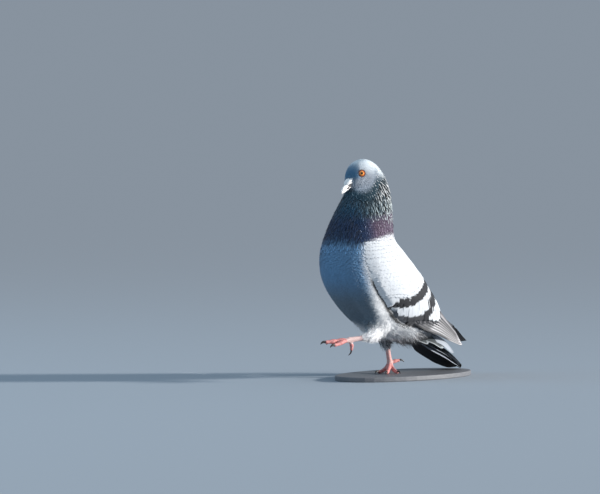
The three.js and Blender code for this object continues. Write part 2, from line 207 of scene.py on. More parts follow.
# %% A socket that can be added and multiplied
class Signal:
    def __init__(self, tree, socket):
        self.tree, self.socket = tree, socket

    def node(self, kind, out=0, sockets=None, **settings):
        made = self.tree.nodes.new(kind)
        stops = settings.pop("stops", None)
        for key, value in settings.items():
            setattr(made, key, value)
        if stops:
            ramp = made.color_ramp
            while len(ramp.elements) < len(stops):
                ramp.elements.new(0.5)
            for element, (place, colour) in zip(ramp.elements, stops):
                element.position = place
                element.color = (*colour, 1)
        for key, value in (sockets or {}).items():
            if isinstance(value, Signal):
                self.tree.links.new(value.socket, made.inputs[key])
            else:
                made.inputs[key].default_value = value
        return Signal(self.tree, made.outputs[out])

    def maths(self, operation, a, b=0.0):
        return self.node("ShaderNodeMath", operation=operation, sockets={0: a, 1: b})

    def __add__(self, other):
        return self.maths("ADD", self, other)

    __radd__ = __add__

    def __mul__(self, other):
        return self.maths("MULTIPLY", self, other)

    __rmul__ = __mul__

    def __sub__(self, other):
        return self.maths("SUBTRACT", self, other)

    def __rsub__(self, other):
        return self.maths("SUBTRACT", other, self)

    def band(self, low, high):
        """0 below low, 1 above high, and a smooth S between them."""
        span = {0: self, 1: low, 2: high, 3: 0.0, 4: 1.0}
        return self.node("ShaderNodeMapRange", interpolation_type="SMOOTHSTEP", sockets=span)

    def off(self, middle):
        """How far this value lies from the middle, either way."""
        return (self - middle).maths("ABSOLUTE", self - middle)

    def sine(self):
        return self.maths("SINE", self)

    def part(self, k):
        """One of the three numbers of a vector."""
        return self.node("ShaderNodeSeparateXYZ", out=k, sockets={0: self})

    def attribute(self, name, out=0):
        return self.node("ShaderNodeAttribute", out=out, attribute_name=name)

    def noise(self, scale, detail, roughness=0.5, where=None):
        """Cloudy noise in the space of the object."""
        where = where or self.node("ShaderNodeTexCoord", out=3)
        sockets = {"Vector": where, "Scale": scale, "Detail": detail, "Roughness": roughness}
        return self.node("ShaderNodeTexNoise", sockets=sockets)

    def cells(self, scale):
        """How far a point lies inside its cell of an even, irregular net."""
        sockets = {"Vector": self.node("ShaderNodeTexCoord", out=3), "Scale": scale}
        return self.node("ShaderNodeTexVoronoi", feature="DISTANCE_TO_EDGE", sockets=sockets)

    def ramp(self, *stops):
        """A colour read from this value, between stops of (value, colour)."""
        return self.node("ShaderNodeValToRGB", sockets={0: self}, stops=stops)

    def bump(self, strength, depth):
        sockets = {"Height": self, "Strength": strength, "Distance": depth}
        return self.node("ShaderNodeBump", sockets=sockets)


print("the class has", len([key for key in vars(Signal) if not key.startswith("_")]), "named steps")


# %% A new material, and the links to its shader
def finish(name, roughness=0.6, **constants):
    """A new material and its tree, with the constant values set on the shader's own sockets."""
    material = bpy.data.materials.new(name)
    material.use_nodes = True
    tree = material.node_tree
    shader = tree.nodes["Principled BSDF"]
    shader.inputs["Roughness"].default_value = roughness
    for key, value in constants.items():
        shader.inputs[key.replace("_", " ")].default_value = value
    return material, Signal(tree, shader.outputs[0]), shader


def wire(shader, **links):
    for key, signal in links.items():
        signal.tree.links.new(signal.socket, shader.inputs[key.replace("_", " ")])


print("a new finish has a roughness of", finish.__defaults__[0], "unless it is told another")

# %% [markdown]
# ## The form of the body
# From the bill's root to the tail's root the plumage is one smooth form. Each row of the table joins a
# point of the back line to a point of the front line, with half the width between them. A curve through
# the rows gives a tube of ovals, and the same rows with the folded wings over them give a second tube.

# %% Stations
STATIONS = np.array(
    [
        [50.2, 240, 52.2, 231, 4.2],
        [48.9, 249.3, 51, 228.5, 8.4],  # bill root
        [43, 258.2, 50.5, 226.5, 11.6],  # forehead
        [29.5, 263, 50.5, 224.5, 13.5],  # crown
        [15, 259.8, 51.5, 222.5, 15],
        [3, 250, 53, 218.5, 18],  # back of the head
        [-4.5, 236.5, 56, 212, 22.8],
        [-8, 221, 61, 203, 28.3],
        [-8.5, 203, 67, 192, 33.2],  # middle of the neck
        [-8, 185, 74.5, 178, 37],
        [-9, 167, 81, 162, 41],  # foot of the neck
        [-22, 149, 86, 143, 44.5],  # shoulders and breast
        [-39, 131, 84, 122, 46.5],
        [-53, 114, 74.5, 104, 46.5],  # deepest part of the trunk
        [-64, 97, 60, 88, 44.5],
        [-73, 80, 39.5, 70, 41],  # belly
        [-80, 66, 14, 54, 36],
        [-83, 56, -14, 45, 29],  # vent
        [-86, 49, -42, 38.5, 21],
        [-88, 44, -68, 33.5, 13],  # tail root
    ]
)
WINGED_FROM = 10
WINGED = np.array(
    [
        [-9, 167, 41],
        [-23.5, 151.5, 47],
        [-42, 134.5, 50.5],
        [-58, 118, 52],
        [-73, 101, 51],
        [-86, 85, 47],
        [-95, 71, 40.5],
        [-100, 60, 33],
        [-102, 53, 25],
        [-101, 46, 16],
    ]
)
FULLNESS = 1.06
HEAD_TURN = math.radians(4)
NECK_PIVOT = at(22, 0)
print("stations:", len(STATIONS), "and", len(WINGED), "over the wings")


# %% A curve through points
def curve(points, t):
    """A smooth curve through points, read at t, where 0 is the first point and 1 the last."""
    p = np.asarray(points, float)
    if p.ndim == 1:
        p = p[:, None]
    t = np.asarray(t, float)
    ends = np.vstack([2 * p[0] - p[1], p, 2 * p[-1] - p[-2]])
    place = np.clip(t, 0, 1) * (len(p) - 1)
    i = np.minimum(place.astype(int), len(p) - 2)
    w = (place - i)[..., None]
    x0, x1, x2, x3 = (ends[i + k] for k in range(4))
    gap = [np.sqrt(np.linalg.norm(b - a, axis=-1, keepdims=True)) for a, b in ((x0, x1), (x1, x2), (x2, x3))]
    d1 = np.where(gap[1] < 1e-4, 1.0, gap[1])
    d0 = np.where(gap[0] < 1e-4, d1, gap[0])
    d2 = np.where(gap[2] < 1e-4, d1, gap[2])
    m1 = ((x1 - x0) / d0 - (x2 - x0) / (d0 + d1) + (x2 - x1) / d1) * d1
    m2 = ((x2 - x1) / d1 - (x3 - x1) / (d1 + d2) + (x3 - x2) / d2) * d1
    a2 = -3 * x1 + 3 * x2 - 2 * m1 - m2
    a3 = 2 * x1 - 2 * x2 + m1 + m2
    out = x1 + m1 * w + a2 * w**2 + a3 * w**3
    return out[..., 0] if np.ndim(points) == 1 else out


print("half way through 0, 1, 4 and 9 the curve is at", round(float(curve([0, 1, 4, 9], 0.5)), 2))


# %% The body as a tube of ovals
def turned(p):
    """The head looks a few degrees to the bird's right, and the turn fades out down the neck."""
    p = np.asarray(p, float)
    a = -HEAD_TURN * rise(p[..., 2], 175, 235)
    q = p - NECK_PIVOT
    x = q[..., 0] * np.cos(a) - q[..., 1] * np.sin(a)
    y = q[..., 0] * np.sin(a) + q[..., 1] * np.cos(a)
    return np.stack([x, y, q[..., 2]], -1) + NECK_PIVOT


def body_form(backs, widths, steps=400, around=320):
    t = np.linspace(0, 1, steps)
    back = curve([at(f, z) for f, z in backs], t)
    front = curve([at(f, z) for f, z in STATIONS[:, 2:4]], t)
    width = curve(widths, t)
    angle = np.linspace(0, TAU, around, endpoint=False)
    puff = [np.sign(v) * np.abs(v) ** (1 / FULLNESS) for v in (np.cos(angle), np.sin(angle))]
    middle, half = (back + front) / 2, (back - front) / 2
    ring = middle[:, None] + half[:, None] * puff[0][None, :, None]
    ring = ring + LEFT * width[:, None, None] * puff[1][None, :, None]
    return turned(ring)


winged_backs = np.vstack([STATIONS[:WINGED_FROM, :2], WINGED[:, :2]])
winged_widths = np.concatenate([STATIONS[:WINGED_FROM, 4], WINGED[:, 2]])
print("broadest:", 2 * STATIONS[:, 4].max(), "mm, and", 2 * winged_widths.max(), "mm over the wings")


# %% A surface that can be read anywhere
class Surface:
    """A tube of points. `t` runs from head to tail, and `a`, in turns, round from the back to the left."""

    def __init__(self, points):
        self.points = points
        steps, around = points.shape[:2]
        self.by_t = np.gradient(points, 1 / (steps - 1), axis=0)
        self.by_a = (np.roll(points, -1, 1) - np.roll(points, 1, 1)) * around / 2
        self.normals = unit(np.cross(self.by_t, self.by_a))
        middle = points.mean(1, keepdims=True)
        if (self.normals * (points - middle)).sum() < 0:
            self.normals = -self.normals

    def read(self, table, t, a):
        steps, around = table.shape[:2]
        i = np.asarray(t, float) * (steps - 1)
        low = np.clip(np.floor(i).astype(int), 0, steps - 2)
        s = np.clip(i - low, -3, 4)[..., None]
        j = (np.asarray(a, float) % 1) * around
        west = np.floor(j).astype(int) % around
        east = (west + 1) % around
        r = (j - np.floor(j))[..., None]
        near = table[low, west] * (1 - r) + table[low, east] * r
        far = table[low + 1, west] * (1 - r) + table[low + 1, east] * r
        return near * (1 - s) + far * s

    def place(self, t, a):
        return self.read(self.points, t, a)

    def normal(self, t, a):
        return unit(self.read(self.normals, t, a))

    def steps_for(self, t, a, ways):
        """How t and a change along each of some directions, by one millimetre."""
        along, round_ = self.read(self.by_t, t, a), self.read(self.by_a, t, a)
        tt, aa, ta = (along**2).sum(-1), (round_**2).sum(-1), (along * round_).sum(-1)
        det = tt * aa - ta**2
        out = []
        for way in ways:
            wt, wa = (way * along).sum(-1), (way * round_).sum(-1)
            out.append(np.stack([(wt * aa - wa * ta) / det, (wa * tt - wt * ta) / det], -1))
        return out


bare_form = Surface(body_form(STATIONS[:, :2], STATIONS[:, 4]))
winged_form = Surface(body_form(winged_backs, winged_widths))
print("body form:", bare_form.points.shape, "highest", bare_form.points[..., 2].max())

# %% [markdown]
# ## The folded wings
# A folded wing lies on the trunk like a shield. Its front and lower edge is a curve in the side view. Behind
# that edge the surface goes over from the bare form to the winged one: softly at the shoulder, where breast
# feathers cover it, and in a step lower down, where the flank shows a dark gap.

# %% Wing outline
WING_EDGE = [
    [64, 190],
    [64, 152],
    [58.5, 130],
    [48, 110],
    [32, 91],
    [15, 72.5],
    [0, 63.5],
    [-24, 57.5],
    [-60, 50],
    [-90, 50],
    [-103, 56],
]


def to_line(f, u, line, values=None):
    """Distance to a line in the side view, positive on the side of its right hand, and a value read there."""
    line = np.asarray(line, float)
    best = np.full(np.shape(f), 1e9)
    side = np.ones(np.shape(f))
    read = np.zeros(np.shape(f))
    for k in range(len(line) - 1):
        a, b = line[k], line[k + 1]
        e = b - a
        s = np.clip(((f - a[0]) * e[0] + (u - a[1]) * e[1]) / (e @ e), 0, 1)
        df, du = f - a[0] - s * e[0], u - a[1] - s * e[1]
        d = np.hypot(df, du)
        nearer = d < best
        best = np.where(nearer, d, best)
        side = np.where(nearer, np.sign(e[1] * df - e[0] * du), side)
        if values is not None:
            read = np.where(nearer, values[k] + s * (values[k + 1] - values[k]), read)
    return best, side, read


WING_LINE = curve(WING_EDGE, np.linspace(0, 1, 60))


def wing_share(p):
    """1 on the wing, 0 on the body."""
    f, u = -p[..., 1], p[..., 2]
    d, side, _ = to_line(f, u, WING_LINE)
    soft = 1.5 + 11 * rise(u, 106, 138)
    return rise(d * side, -0.4 * soft, soft)


share = wing_share(bare_form.points)[..., None]
coat_form = Surface(bare_form.points * (1 - share) + winged_form.points * share)
print("wing share of the grid:", round(float(share.mean()), 3))

# %% [markdown]
# ## Markings
# The plumage is grey, and every zone has its own grey. One function answers for any point of the bird which
# colour lies there. Both the skin and the feathers ask it, so they agree. The zones are bounded by lines in
# the side view: face to neck, green to purple, purple to breast, and the two charcoal bars of the wing.
# Some zones also hold painted light and shade: pale crown and flanks, blue front, dark throat and underside.

# %% Lines between the zones
FACE_LINE = [
    [-10, 252], [3, 251.5], [13, 249.3], [20, 245.3], [24, 240.5], [28, 234], [33.5, 228], [40, 224],
    [45.5, 223], [49, 225], [51, 227.3], [56, 229]
]
PURPLE_LINE = [[-10, 200], [9, 199], [18.5, 196.5], [34, 192], [46, 189.6], [56, 190.8], [63, 193], [80, 196]]
BREAST_LINE = [
    [-12, 171.5], [13, 171], [29, 169.3], [39.5, 166.8], [52, 163.6], [60, 161.5], [70, 158.5], [80, 159],
    [92, 159]
]
BAR_FRONT = [
    [19, 87], [12, 87.8], [5, 88.6], [-3, 90], [-12, 93.5], [-20.5, 98], [-32, 104.5], [-43, 111.5],
    [-54, 119]
]
BAR_FRONT_HALF = [3.4, 4.8, 5.3, 5.5, 5.8, 6.0, 6.1, 5.9, 5.4]
BAR_REAR = [[-76, 114], [-64, 104], [-54.5, 96], [-48, 89], [-43.5, 82], [-41, 75], [-40, 71]]
BAR_REAR_HALF = [7, 7.8, 8, 7.6, 6.2, 5.4, 4.6]
WHITE_LINE = [
    [40, 90], [22, 79], [12, 75.5], [4, 74], [-4, 73.5], [-12, 72.5], [-22, 74], [-34, 75.5], [-44, 71],
    [-54, 66], [-66, 64], [-85, 56], [-110, 50]
]

print("the bars have", len(BAR_FRONT), "and", len(BAR_REAR), "places, each with a half width")

# %% Colours of the zones
GREY_CROWN = (0.77, 0.84, 0.89)
GREY_FACE = (0.34, 0.38, 0.44)
JAW = (0.33, 0.38, 0.45)
GREEN = (0.018, 0.055, 0.080)
SHADED_GREEN = (0.004, 0.060, 0.115)
PURPLE = (0.070, 0.040, 0.080)
SHADED_PURPLE = (0.004, 0.024, 0.078)
BREAST = (0.150, 0.300, 0.490)
LOW_BREAST = (0.135, 0.190, 0.240)
FLANK = (0.76, 0.77, 0.79)
WING = (0.76, 0.785, 0.82)
CHARCOAL = (0.016, 0.017, 0.022)
DUSK = (0.045, 0.046, 0.053)
BELLY = (0.90, 0.90, 0.91)
UNDERSIDE = (0.10, 0.105, 0.115)
UNDERTAIL = (0.016, 0.020, 0.026)
SLATE = (0.17, 0.19, 0.22)
print("the crown is", round(sum(GREY_CROWN) / sum(SHADED_PURPLE)), "times as bright as the throat")


# %% Which colour lies where
def mixed(low, high, s):
    s = np.asarray(s, float)[..., None]
    return np.asarray(low) * (1 - s) + np.asarray(high) * s


def level(f, line):
    """How high a line of the side view runs at f."""
    line = sorted(line)
    return np.interp(f, [p[0] for p in line], [p[1] for p in line])


def markings(p, on_wing=None):
    f, u, l = -p[..., 1], p[..., 2], np.abs(p[..., 0])
    wing = wing_share(p) if on_wing is None else on_wing
    # the breast's blue grey goes over to pale flanks along a slanting line, partly painted light:
    # the front is made deeper blue, as cool shade makes it, and the flanks near white, as the sun makes them
    front = mixed(BREAST, LOW_BREAST, rise(u, 125, 85))
    breast = mixed(front, FLANK, rise(l - f + 31 - 0.38 * np.clip(137 - u, 0, 70), -9, 14))
    # the lower flank and belly: pale grey, made near white by painted light where the low sun falls
    breast = mixed(breast, BELLY, rise(u, 70, 54) * rise(l - f, -40, 0))
    # the underside below it: grey, made much darker by painted shade
    breast = mixed(
        breast, UNDERSIDE,
        np.maximum(rise(u, 49, 40), 0.8 * rise(f, -30, -44) * rise(u, 62, 50)) * rise(u, 74, 60)
    )
    # the undertail: dark grey, made near black by painted shade
    breast = mixed(breast, UNDERTAIL, rise(f, -40, -50) * rise(u, 47, 42) * rise(f, -88, -76))
    breast = mixed(breast, WING, rise(l - f + 33, 0, 30) * rise(u, 105, 135))
    wing_tint = WING
    d, _, half = to_line(f, u, BAR_FRONT, BAR_FRONT_HALF)
    inside = rise(half - d, -0.25, 0.25)
    d, _, half = to_line(f, u, BAR_REAR, BAR_REAR_HALF)
    inside = np.maximum(inside, rise(half - d, -0.25, 0.25))
    wing_tint = mixed(wing_tint, DUSK, rise(level(f, WHITE_LINE) - u, 0, 1.5))
    wing_tint = mixed(wing_tint, CHARCOAL, inside * rise(f, 21, 18))
    # painted shade: the wing is made darker just behind its lower front edge, beside the gap with the flank
    d, side, _ = to_line(f, u, WING_LINE)
    wing_tint = mixed(
        wing_tint, (0.13, 0.135, 0.15), rise(d * side, 6.5, 3.5) * rise(u, 92, 85) * rise(f, -14, 2)
    )
    tint = mixed(breast, wing_tint, wing)
    tint = mixed(tint, SLATE, rise(f, -84, -96) * (1 - wing))
    # the neck: purple over the breast, green above it, both made darker and bluer at the throat by painted
    # shade
    front = rise(f, 42, 66)
    purple = mixed(PURPLE, SHADED_PURPLE, rise(f, 40, 60))
    green = mixed(GREEN, SHADED_GREEN, front)
    edge = 7 + 6 * front
    neck = mixed(purple, green, rise(u - level(f, PURPLE_LINE), -edge, edge))
    soft = 3 + 6.5 * rise(f, 62, 78)
    tint = mixed(tint, neck, rise(u - level(f, BREAST_LINE), -soft, soft))
    # the head: a paler crown, partly its own grey and partly painted light, and a darker grey round the eye
    head = mixed(GREY_FACE, GREY_CROWN, rise(u - 0.25 * f, 232, 252 - 12 * rise(f, 22, 6)))
    head = mixed(head, JAW, rise(level(f, FACE_LINE) + 8 - u, -2, 6) * rise(f, 14, 24))
    # painted shade: the forehead is made deep blue
    head = mixed(head, (0.05, 0.20, 0.36), 0.85 * rise(f, 41, 50) * rise(u, 236, 243))
    nape = rise(f, 30, 12)
    soft = 4 + 2 * front + 5 * nape
    return mixed(tint, head, rise(u - level(f, FACE_LINE) + 7 * nape, -soft, soft))


def gap_shade(p):
    """How much of the light reaches the narrow gap between the flank and the wing's lower front edge."""
    f, u = -p[..., 1], p[..., 2]
    d, side, _ = to_line(f, u, WING_LINE)
    dark = 0.94 * rise(d * side, -4.2, -1.8) * rise(d * side, 1.2 + 2.4 * rise(u, 94, 84), 0.2)
    return 1 - dark * rise(u, 124, 112) * rise(f, -30, -8)


print("crown:", markings(at(30, 262)).round(2), "breast:", markings(at(80, 140)).round(2))

# %% [markdown]
# ## From arrays to a mesh
# Thousands of vanes are quicker to make as arrays of points than with modelling operators. This helper
# turns such arrays into one mesh, with a colour for each point and as many UV maps as are given.


# %% Mesh from arrays
def piece(name, points, faces, tint=None, uvs=None, smooth=True):
    points, faces = np.asarray(points, float).reshape(-1, 3), np.asarray(faces, np.int32)
    mesh = bpy.data.meshes.new(name)
    mesh.vertices.add(len(points))
    mesh.vertices.foreach_set("co", world(points).astype(np.float32).ravel())
    count, corners = faces.shape
    mesh.loops.add(count * corners)
    mesh.loops.foreach_set("vertex_index", faces.ravel())
    mesh.polygons.add(count)
    mesh.polygons.foreach_set("loop_start", np.arange(count, dtype=np.int32) * corners)
    mesh.update(calc_edges=True)
    mesh.polygons.foreach_set("use_smooth", np.full(count, smooth))
    if tint is not None:
        rgba = np.ones((len(points), 4), np.float32)
        rgba[:, :3] = np.clip(np.asarray(tint).reshape(-1, 3), 0, 1)
        mesh.color_attributes.new("tint", "FLOAT_COLOR", "POINT").data.foreach_set("color", rgba.ravel())
    for key, uv in (uvs or {}).items():
        flat = np.asarray(uv, np.float32).reshape(-1, 2)[faces.ravel()]
        mesh.uv_layers.new(name=key).uv.foreach_set("vector", flat.ravel())
    made = bpy.data.objects.new(name, mesh)
    scene.collection.objects.link(made)
    return made


# %% Grids and tubes
def grid_faces(rows, cols, closed=False):
    """Quads of a grid with `cols` points in each of `rows` rows."""
    i = np.arange(rows - 1)[:, None]
    j = np.arange(cols if closed else cols - 1)[None]
    k = (j + 1) % cols
    return np.stack([i * cols + j, i * cols + k, (i + 1) * cols + k, (i + 1) * cols + j], -1).reshape(-1, 4)


def tube(stops, side=LEFT, steps=24, around=16, bumps=None):
    """A tube. Each stop is [point, half width, half thickness]; `side` is where the width lies."""
    t = np.linspace(0, 1, steps)
    path = curve([s[0] for s in stops], t)
    width = curve([float(s[1]) for s in stops], t)
    thick = curve([float(s[-1]) for s in stops], t)
    if bumps is not None:
        width, thick = width * bumps(t), thick * bumps(t)
    way = unit(np.gradient(path, axis=0))
    up = unit(np.cross(way, np.asarray(side, float)))
    across = unit(np.cross(up, way))
    angle = np.linspace(0, TAU, around, endpoint=False)
    rise_by = up[:, None] * (thick[:, None] * np.cos(angle))[..., None]
    return path[:, None] + rise_by + across[:, None] * (width[:, None] * np.sin(angle))[..., None]


def shut(ring):
    """Points, quads and end triangles of a tube whose ends are closed with a fan."""
    rows, around = ring.shape[:2]
    points = np.vstack([ring.reshape(-1, 3), ring[0].mean(0), ring[-1].mean(0)])
    j = np.arange(around)
    k = (j + 1) % around
    end = (rows - 1) * around
    low = np.stack([k, j, np.full(around, rows * around)], -1)
    high = np.stack([j + end, k + end, np.full(around, rows * around + 1)], -1)
    return points, grid_faces(rows, around, True), np.vstack([low, high])


def tube_piece(name, rings):
    """One object from one or more shut tubes."""
    points, quads, ends, start = [], [], [], 0
    for ring in rings:
        more, quad, end = shut(ring)
        points.append(more)
        quads.append(quad + start)
        ends.append(end + start)
        start += len(more)
    quads = np.vstack(quads)
    return piece(name, np.vstack(points), np.vstack([quads[:, [0, 1, 2]], quads[:, [0, 2, 3]], *ends]))


print("a tube of 3 by 4 has", len(grid_faces(3, 4, closed=True)), "quads")


# %% [markdown]
# ## Legs, toes and claws
# The right leg stands, and the left is held out in front with its toes together. Each is a chain of tubes
# along the frame's own centre lines, a little swollen at every joint, as on a real foot.

# %% Leg lines
RIGHT_HEEL, RIGHT_FOOT = at(-25, 41.5, -11.5), at(-29, 12.5, -9)
LEFT_HEEL, LEFT_FOOT = at(39, 49, 25), at(66, 45.5, 14)
THIGHS = {
    "right": [
        [at(-6, 88, -16), 24], [at(-12, 68, -15), 17], [at(-18.5, 52, -13.2), 10.5],
        [at(-23.5, 40, -11.6), 6], [at(-26.3, 30.5, -10.7), 3.8]
    ],
    "left": [
        [at(-2, 92, 15), 26], [at(10, 76, 17.5), 21.5], [at(22, 64, 20.5), 15.5], [at(32, 55.5, 23.5), 10.5],
        [LEFT_HEEL + at(1, 0.5), 7.4], [at(49.5, 47.8, 20.7), 4.3]
    ],
}


def shank(heel, foot):
    down = unit(foot - heel)
    return [
        [foot - down * 28, 3.2], [foot - down * 15.5, 3.0], [foot - down * 5, 3.2], [foot + down * 1.5, 3.8]
    ]


for name, heel, foot in (("right", RIGHT_HEEL, RIGHT_FOOT), ("left", LEFT_HEEL, LEFT_FOOT)):
    print(name, "shank:", round(float(np.linalg.norm(heel - foot)), 1), "mm")


# %% Toes and claws
def heading(degrees):
    turn = math.radians(degrees)
    return at(math.cos(turn), 0, math.sin(turn))


def digit(joint, degrees, stops):
    return [[joint + heading(degrees) * out + UP * up, radius] for out, up, radius in stops]


def standing_toe(length, r):
    down = r - RIGHT_FOOT[2]
    toe = [
        [1, -0.5, r + 0.5], [0.3 * length, 0.52 * down, r + 0.2], [0.6 * length, 0.88 * down, r],
        [0.82 * length, down, r * 1.02], [length, down, r * 0.8]
    ]
    claw = [
        [length - 1, down + 0.3, r * 0.62], [length + 2.4, down + 0.9, r * 0.56],
        [length + 4.8, down, r * 0.36], [length + 6.4, 0.35 - RIGHT_FOOT[2], 0.2]
    ]
    return toe, claw


def raised_toe(length, r, drop):
    toe = [
        [1, -0.2, r + 0.4], [0.35 * length, -0.25 * drop, r + 0.1], [0.7 * length, -0.75 * drop, r],
        [length, -drop, r * 0.75]
    ]
    claw = [
        [length - 1, 0.2 - drop, r * 0.6], [length + 2.4, 0.3 - drop, r * 0.55],
        [length + 4.8, -0.9 - drop, r * 0.36], [length + 6.2, -2.6 - drop, 0.2]
    ]
    return toe, claw


RIGHT_TOES = [
    (74, *standing_toe(19, 2.2)),
    (35, *standing_toe(27, 2.4)),
    (1, *standing_toe(21, 2.2)),
    (
        160, [[1, 0.6, 2.6], [5, 1.2, 2.4], [9, 2.2, 2.3], [13, 2.6, 1.8]],
        [[12, 2.9, 1.2], [15.4, 3.2, 1.1], [18, 2, 0.75], [19.6, 0.2, 0.2]]
    ),
]
LEFT_TOES = [
    (-39, *raised_toe(22, 2.5, 3)),
    (-22, *raised_toe(32, 2.7, 2)),
    (-4, *raised_toe(25, 2.5, 5.5)),
    (
        150, [[0.4, -1.5, 2.5], [2.2, -5, 2.3], [2.6, -8.6, 2.2], [2.2, -12.5, 1.7]],
        [[2.3, -11.6, 1.1], [1.7, -14.8, 1], [0.2, -17, 0.7], [-1.8, -18.6, 0.2]]
    ),
]
TOE_NAMES = ["inner", "middle", "outer", "hind"]
limbs = {}  # name: stops of every bare part of the legs
for side_name, joint, toes in (("right", RIGHT_FOOT, RIGHT_TOES), ("left", LEFT_FOOT, LEFT_TOES)):
    for toe_name, (degrees, toe, claw) in zip(TOE_NAMES, toes):
        limbs[f"toe_{side_name}_{toe_name}"] = (digit(joint, degrees, toe), degrees)
        limbs[f"claw_{side_name}_{toe_name}"] = (digit(joint, degrees, claw), degrees)
limbs["shank_right"] = (shank(RIGHT_HEEL, RIGHT_FOOT), 90)
limbs["shank_left"] = (shank(LEFT_HEEL, LEFT_FOOT), 90)
print("limbs:", len(limbs))


# %% Limbs as tubes
def limb_side(degrees):
    return np.cross(UP, heading(degrees))


def knuckles(count):
    """Slight swellings under each joint of a toe."""
    return lambda t: 1 + 0.10 * np.cos(TAU * count * t) * (t < 0.97)


def limb_ring(name, steps=30, around=16, bumps=None):
    stops, degrees = limbs[name]
    side = limb_side(degrees) if not name.startswith("shank") else LEFT
    return tube(stops, side, steps, around, bumps=bumps)


def ball_chain(p, stops):
    """How far points lie outside a row of balls, filled in between."""
    best = np.full(p.shape[:-1], 1e9)
    for (a, ra), (b, rb) in zip(stops[:-1], stops[1:]):
        e = b - a
        s = np.clip(((p - a) * e).sum(-1) / (e @ e), 0, 1)
        best = np.minimum(best, np.linalg.norm(p - a - s[..., None] * e, axis=-1) - ra - s * (rb - ra))
    return best


FLANK_ROLL = 9.5  # how far the roll of flank feathers stands out, in mm
MOST_SWOLLEN = 22.0


def swollen(form, soft=8.0):
    """The body's form, raised over the thighs and in a soft roll of flank feathers before the wing."""
    f, u, l = -form.points[..., 1], form.points[..., 2], form.points[..., 0]
    d, side, _ = to_line(f, u, WING_LINE)
    roll = FLANK_ROLL * np.exp(-(((-d * side - 12) / 8.5) ** 2)) * rise(u, 54, 66)
    roll = roll * (0.35 + 0.65 * rise(u, 106, 84)) * rise(u, 128, 104)
    roll = roll * (rise(l, 12, 24) + 0.12 * rise(l, -12, -24))  # full on the left, faint on the right
    height = roll
    for name in ("left", "right"):
        for turn in range(7):
            away = ball_chain(form.points + form.normals * height[..., None], THIGHS[name][:4])
            h = np.maximum(soft - np.abs(height - away), 0) / soft
            melted = np.minimum(height - roll, away) - h * h * soft / 4
            height = np.clip(height - 0.8 * np.minimum(melted, 0) * (away < soft), roll, MOST_SWOLLEN)
    return Surface(form.points + form.normals * height[..., None])


body_form_out = swollen(bare_form)
raised = np.linalg.norm(body_form_out.points - bare_form.points, axis=-1)
print("swollen by up to", round(float(raised.max()), 1), "mm")


def thigh_ring(side_name, inset, steps=30, around=24):
    stops = [[p, r - inset * min(1, max(0, (r - 2.8) / 3))] for p, r in THIGHS[side_name]]
    return tube(stops, LEFT, steps, around)


# %% [markdown]
# ## One skin
# Body, wings, thighs, legs and toes become one closed skin. Each is first a shut tube, set inside the frame
# by the depth of the coat that will lie on it. A voxel remesh then melts all the tubes into one surface with
# no seam, and a short smoothing takes the steps off. The bare legs keep the full size.

# %% Melt the tubes into one skin
def coat_depth(p):
    """How thick the plumage is, in mm."""
    f, u = -p[..., 1], p[..., 2]
    return 1.1 + 1.3 * rise(level(f, FACE_LINE) - u, -4, 14) + 0.9 * rise(u, 190, 150)


def inset_form(form):
    return form.points - form.normals * coat_depth(form.points)[..., None]


VOXEL = 0.8 * MILLIMETRE
BODY_ABOVE = 56 * MILLIMETRE  # the hidden body needs fewer faces than the bare toes below it
BODY_FACES = 0.22
shells = [inset_form(coat_form)[::4, ::4]]
shells += [thigh_ring(side_name, 2.6) for side_name in ("right", "left")]
for name in limbs:
    if name.startswith("toe"):
        shells.append(limb_ring(name, bumps=knuckles(3 if "middle" in name else 2)))
    elif name.startswith("shank"):
        shells.append(limb_ring(name))
for joint in (RIGHT_FOOT, LEFT_FOOT):
    ball = ((3.2, 0.5), (2.2, 2.6), (0, 3.6), (-2.2, 2.6), (-3.2, 0.5))
    shells.append(tube([[joint + UP * up, radius] for up, radius in ball], steps=12))
skin = tube_piece("skin", shells)
bpy.context.view_layer.objects.active = skin
remesh = skin.modifiers.new("melt", "REMESH")
remesh.mode, remesh.voxel_size = "VOXEL", VOXEL
with bpy.context.temp_override(object=skin, active_object=skin):
    bpy.ops.object.modifier_apply(modifier="melt")
body_part = skin.vertex_groups.new(name="body")
body_part.add([v.index for v in skin.data.vertices if v.co.z > ZERO[2] + BODY_ABOVE], 1.0, "REPLACE")
smooth = skin.modifiers.new("ease", "SMOOTH")
smooth.factor, smooth.iterations, smooth.vertex_group = 0.5, 3, "body"
fewer = skin.modifiers.new("fewer", "DECIMATE")
fewer.ratio, fewer.vertex_group, fewer.vertex_group_factor = BODY_FACES, "body", 1.0
with bpy.context.temp_override(object=skin, active_object=skin):
    bpy.ops.object.modifier_apply(modifier="ease")
    bpy.ops.object.modifier_apply(modifier="fewer")
mesh = skin.data
mesh.polygons.foreach_set("use_smooth", np.ones(len(mesh.polygons), bool))
triangles = sum(len(p.vertices) - 2 for p in mesh.polygons)
print("skin:", len(mesh.vertices), "points,", triangles, "triangles")

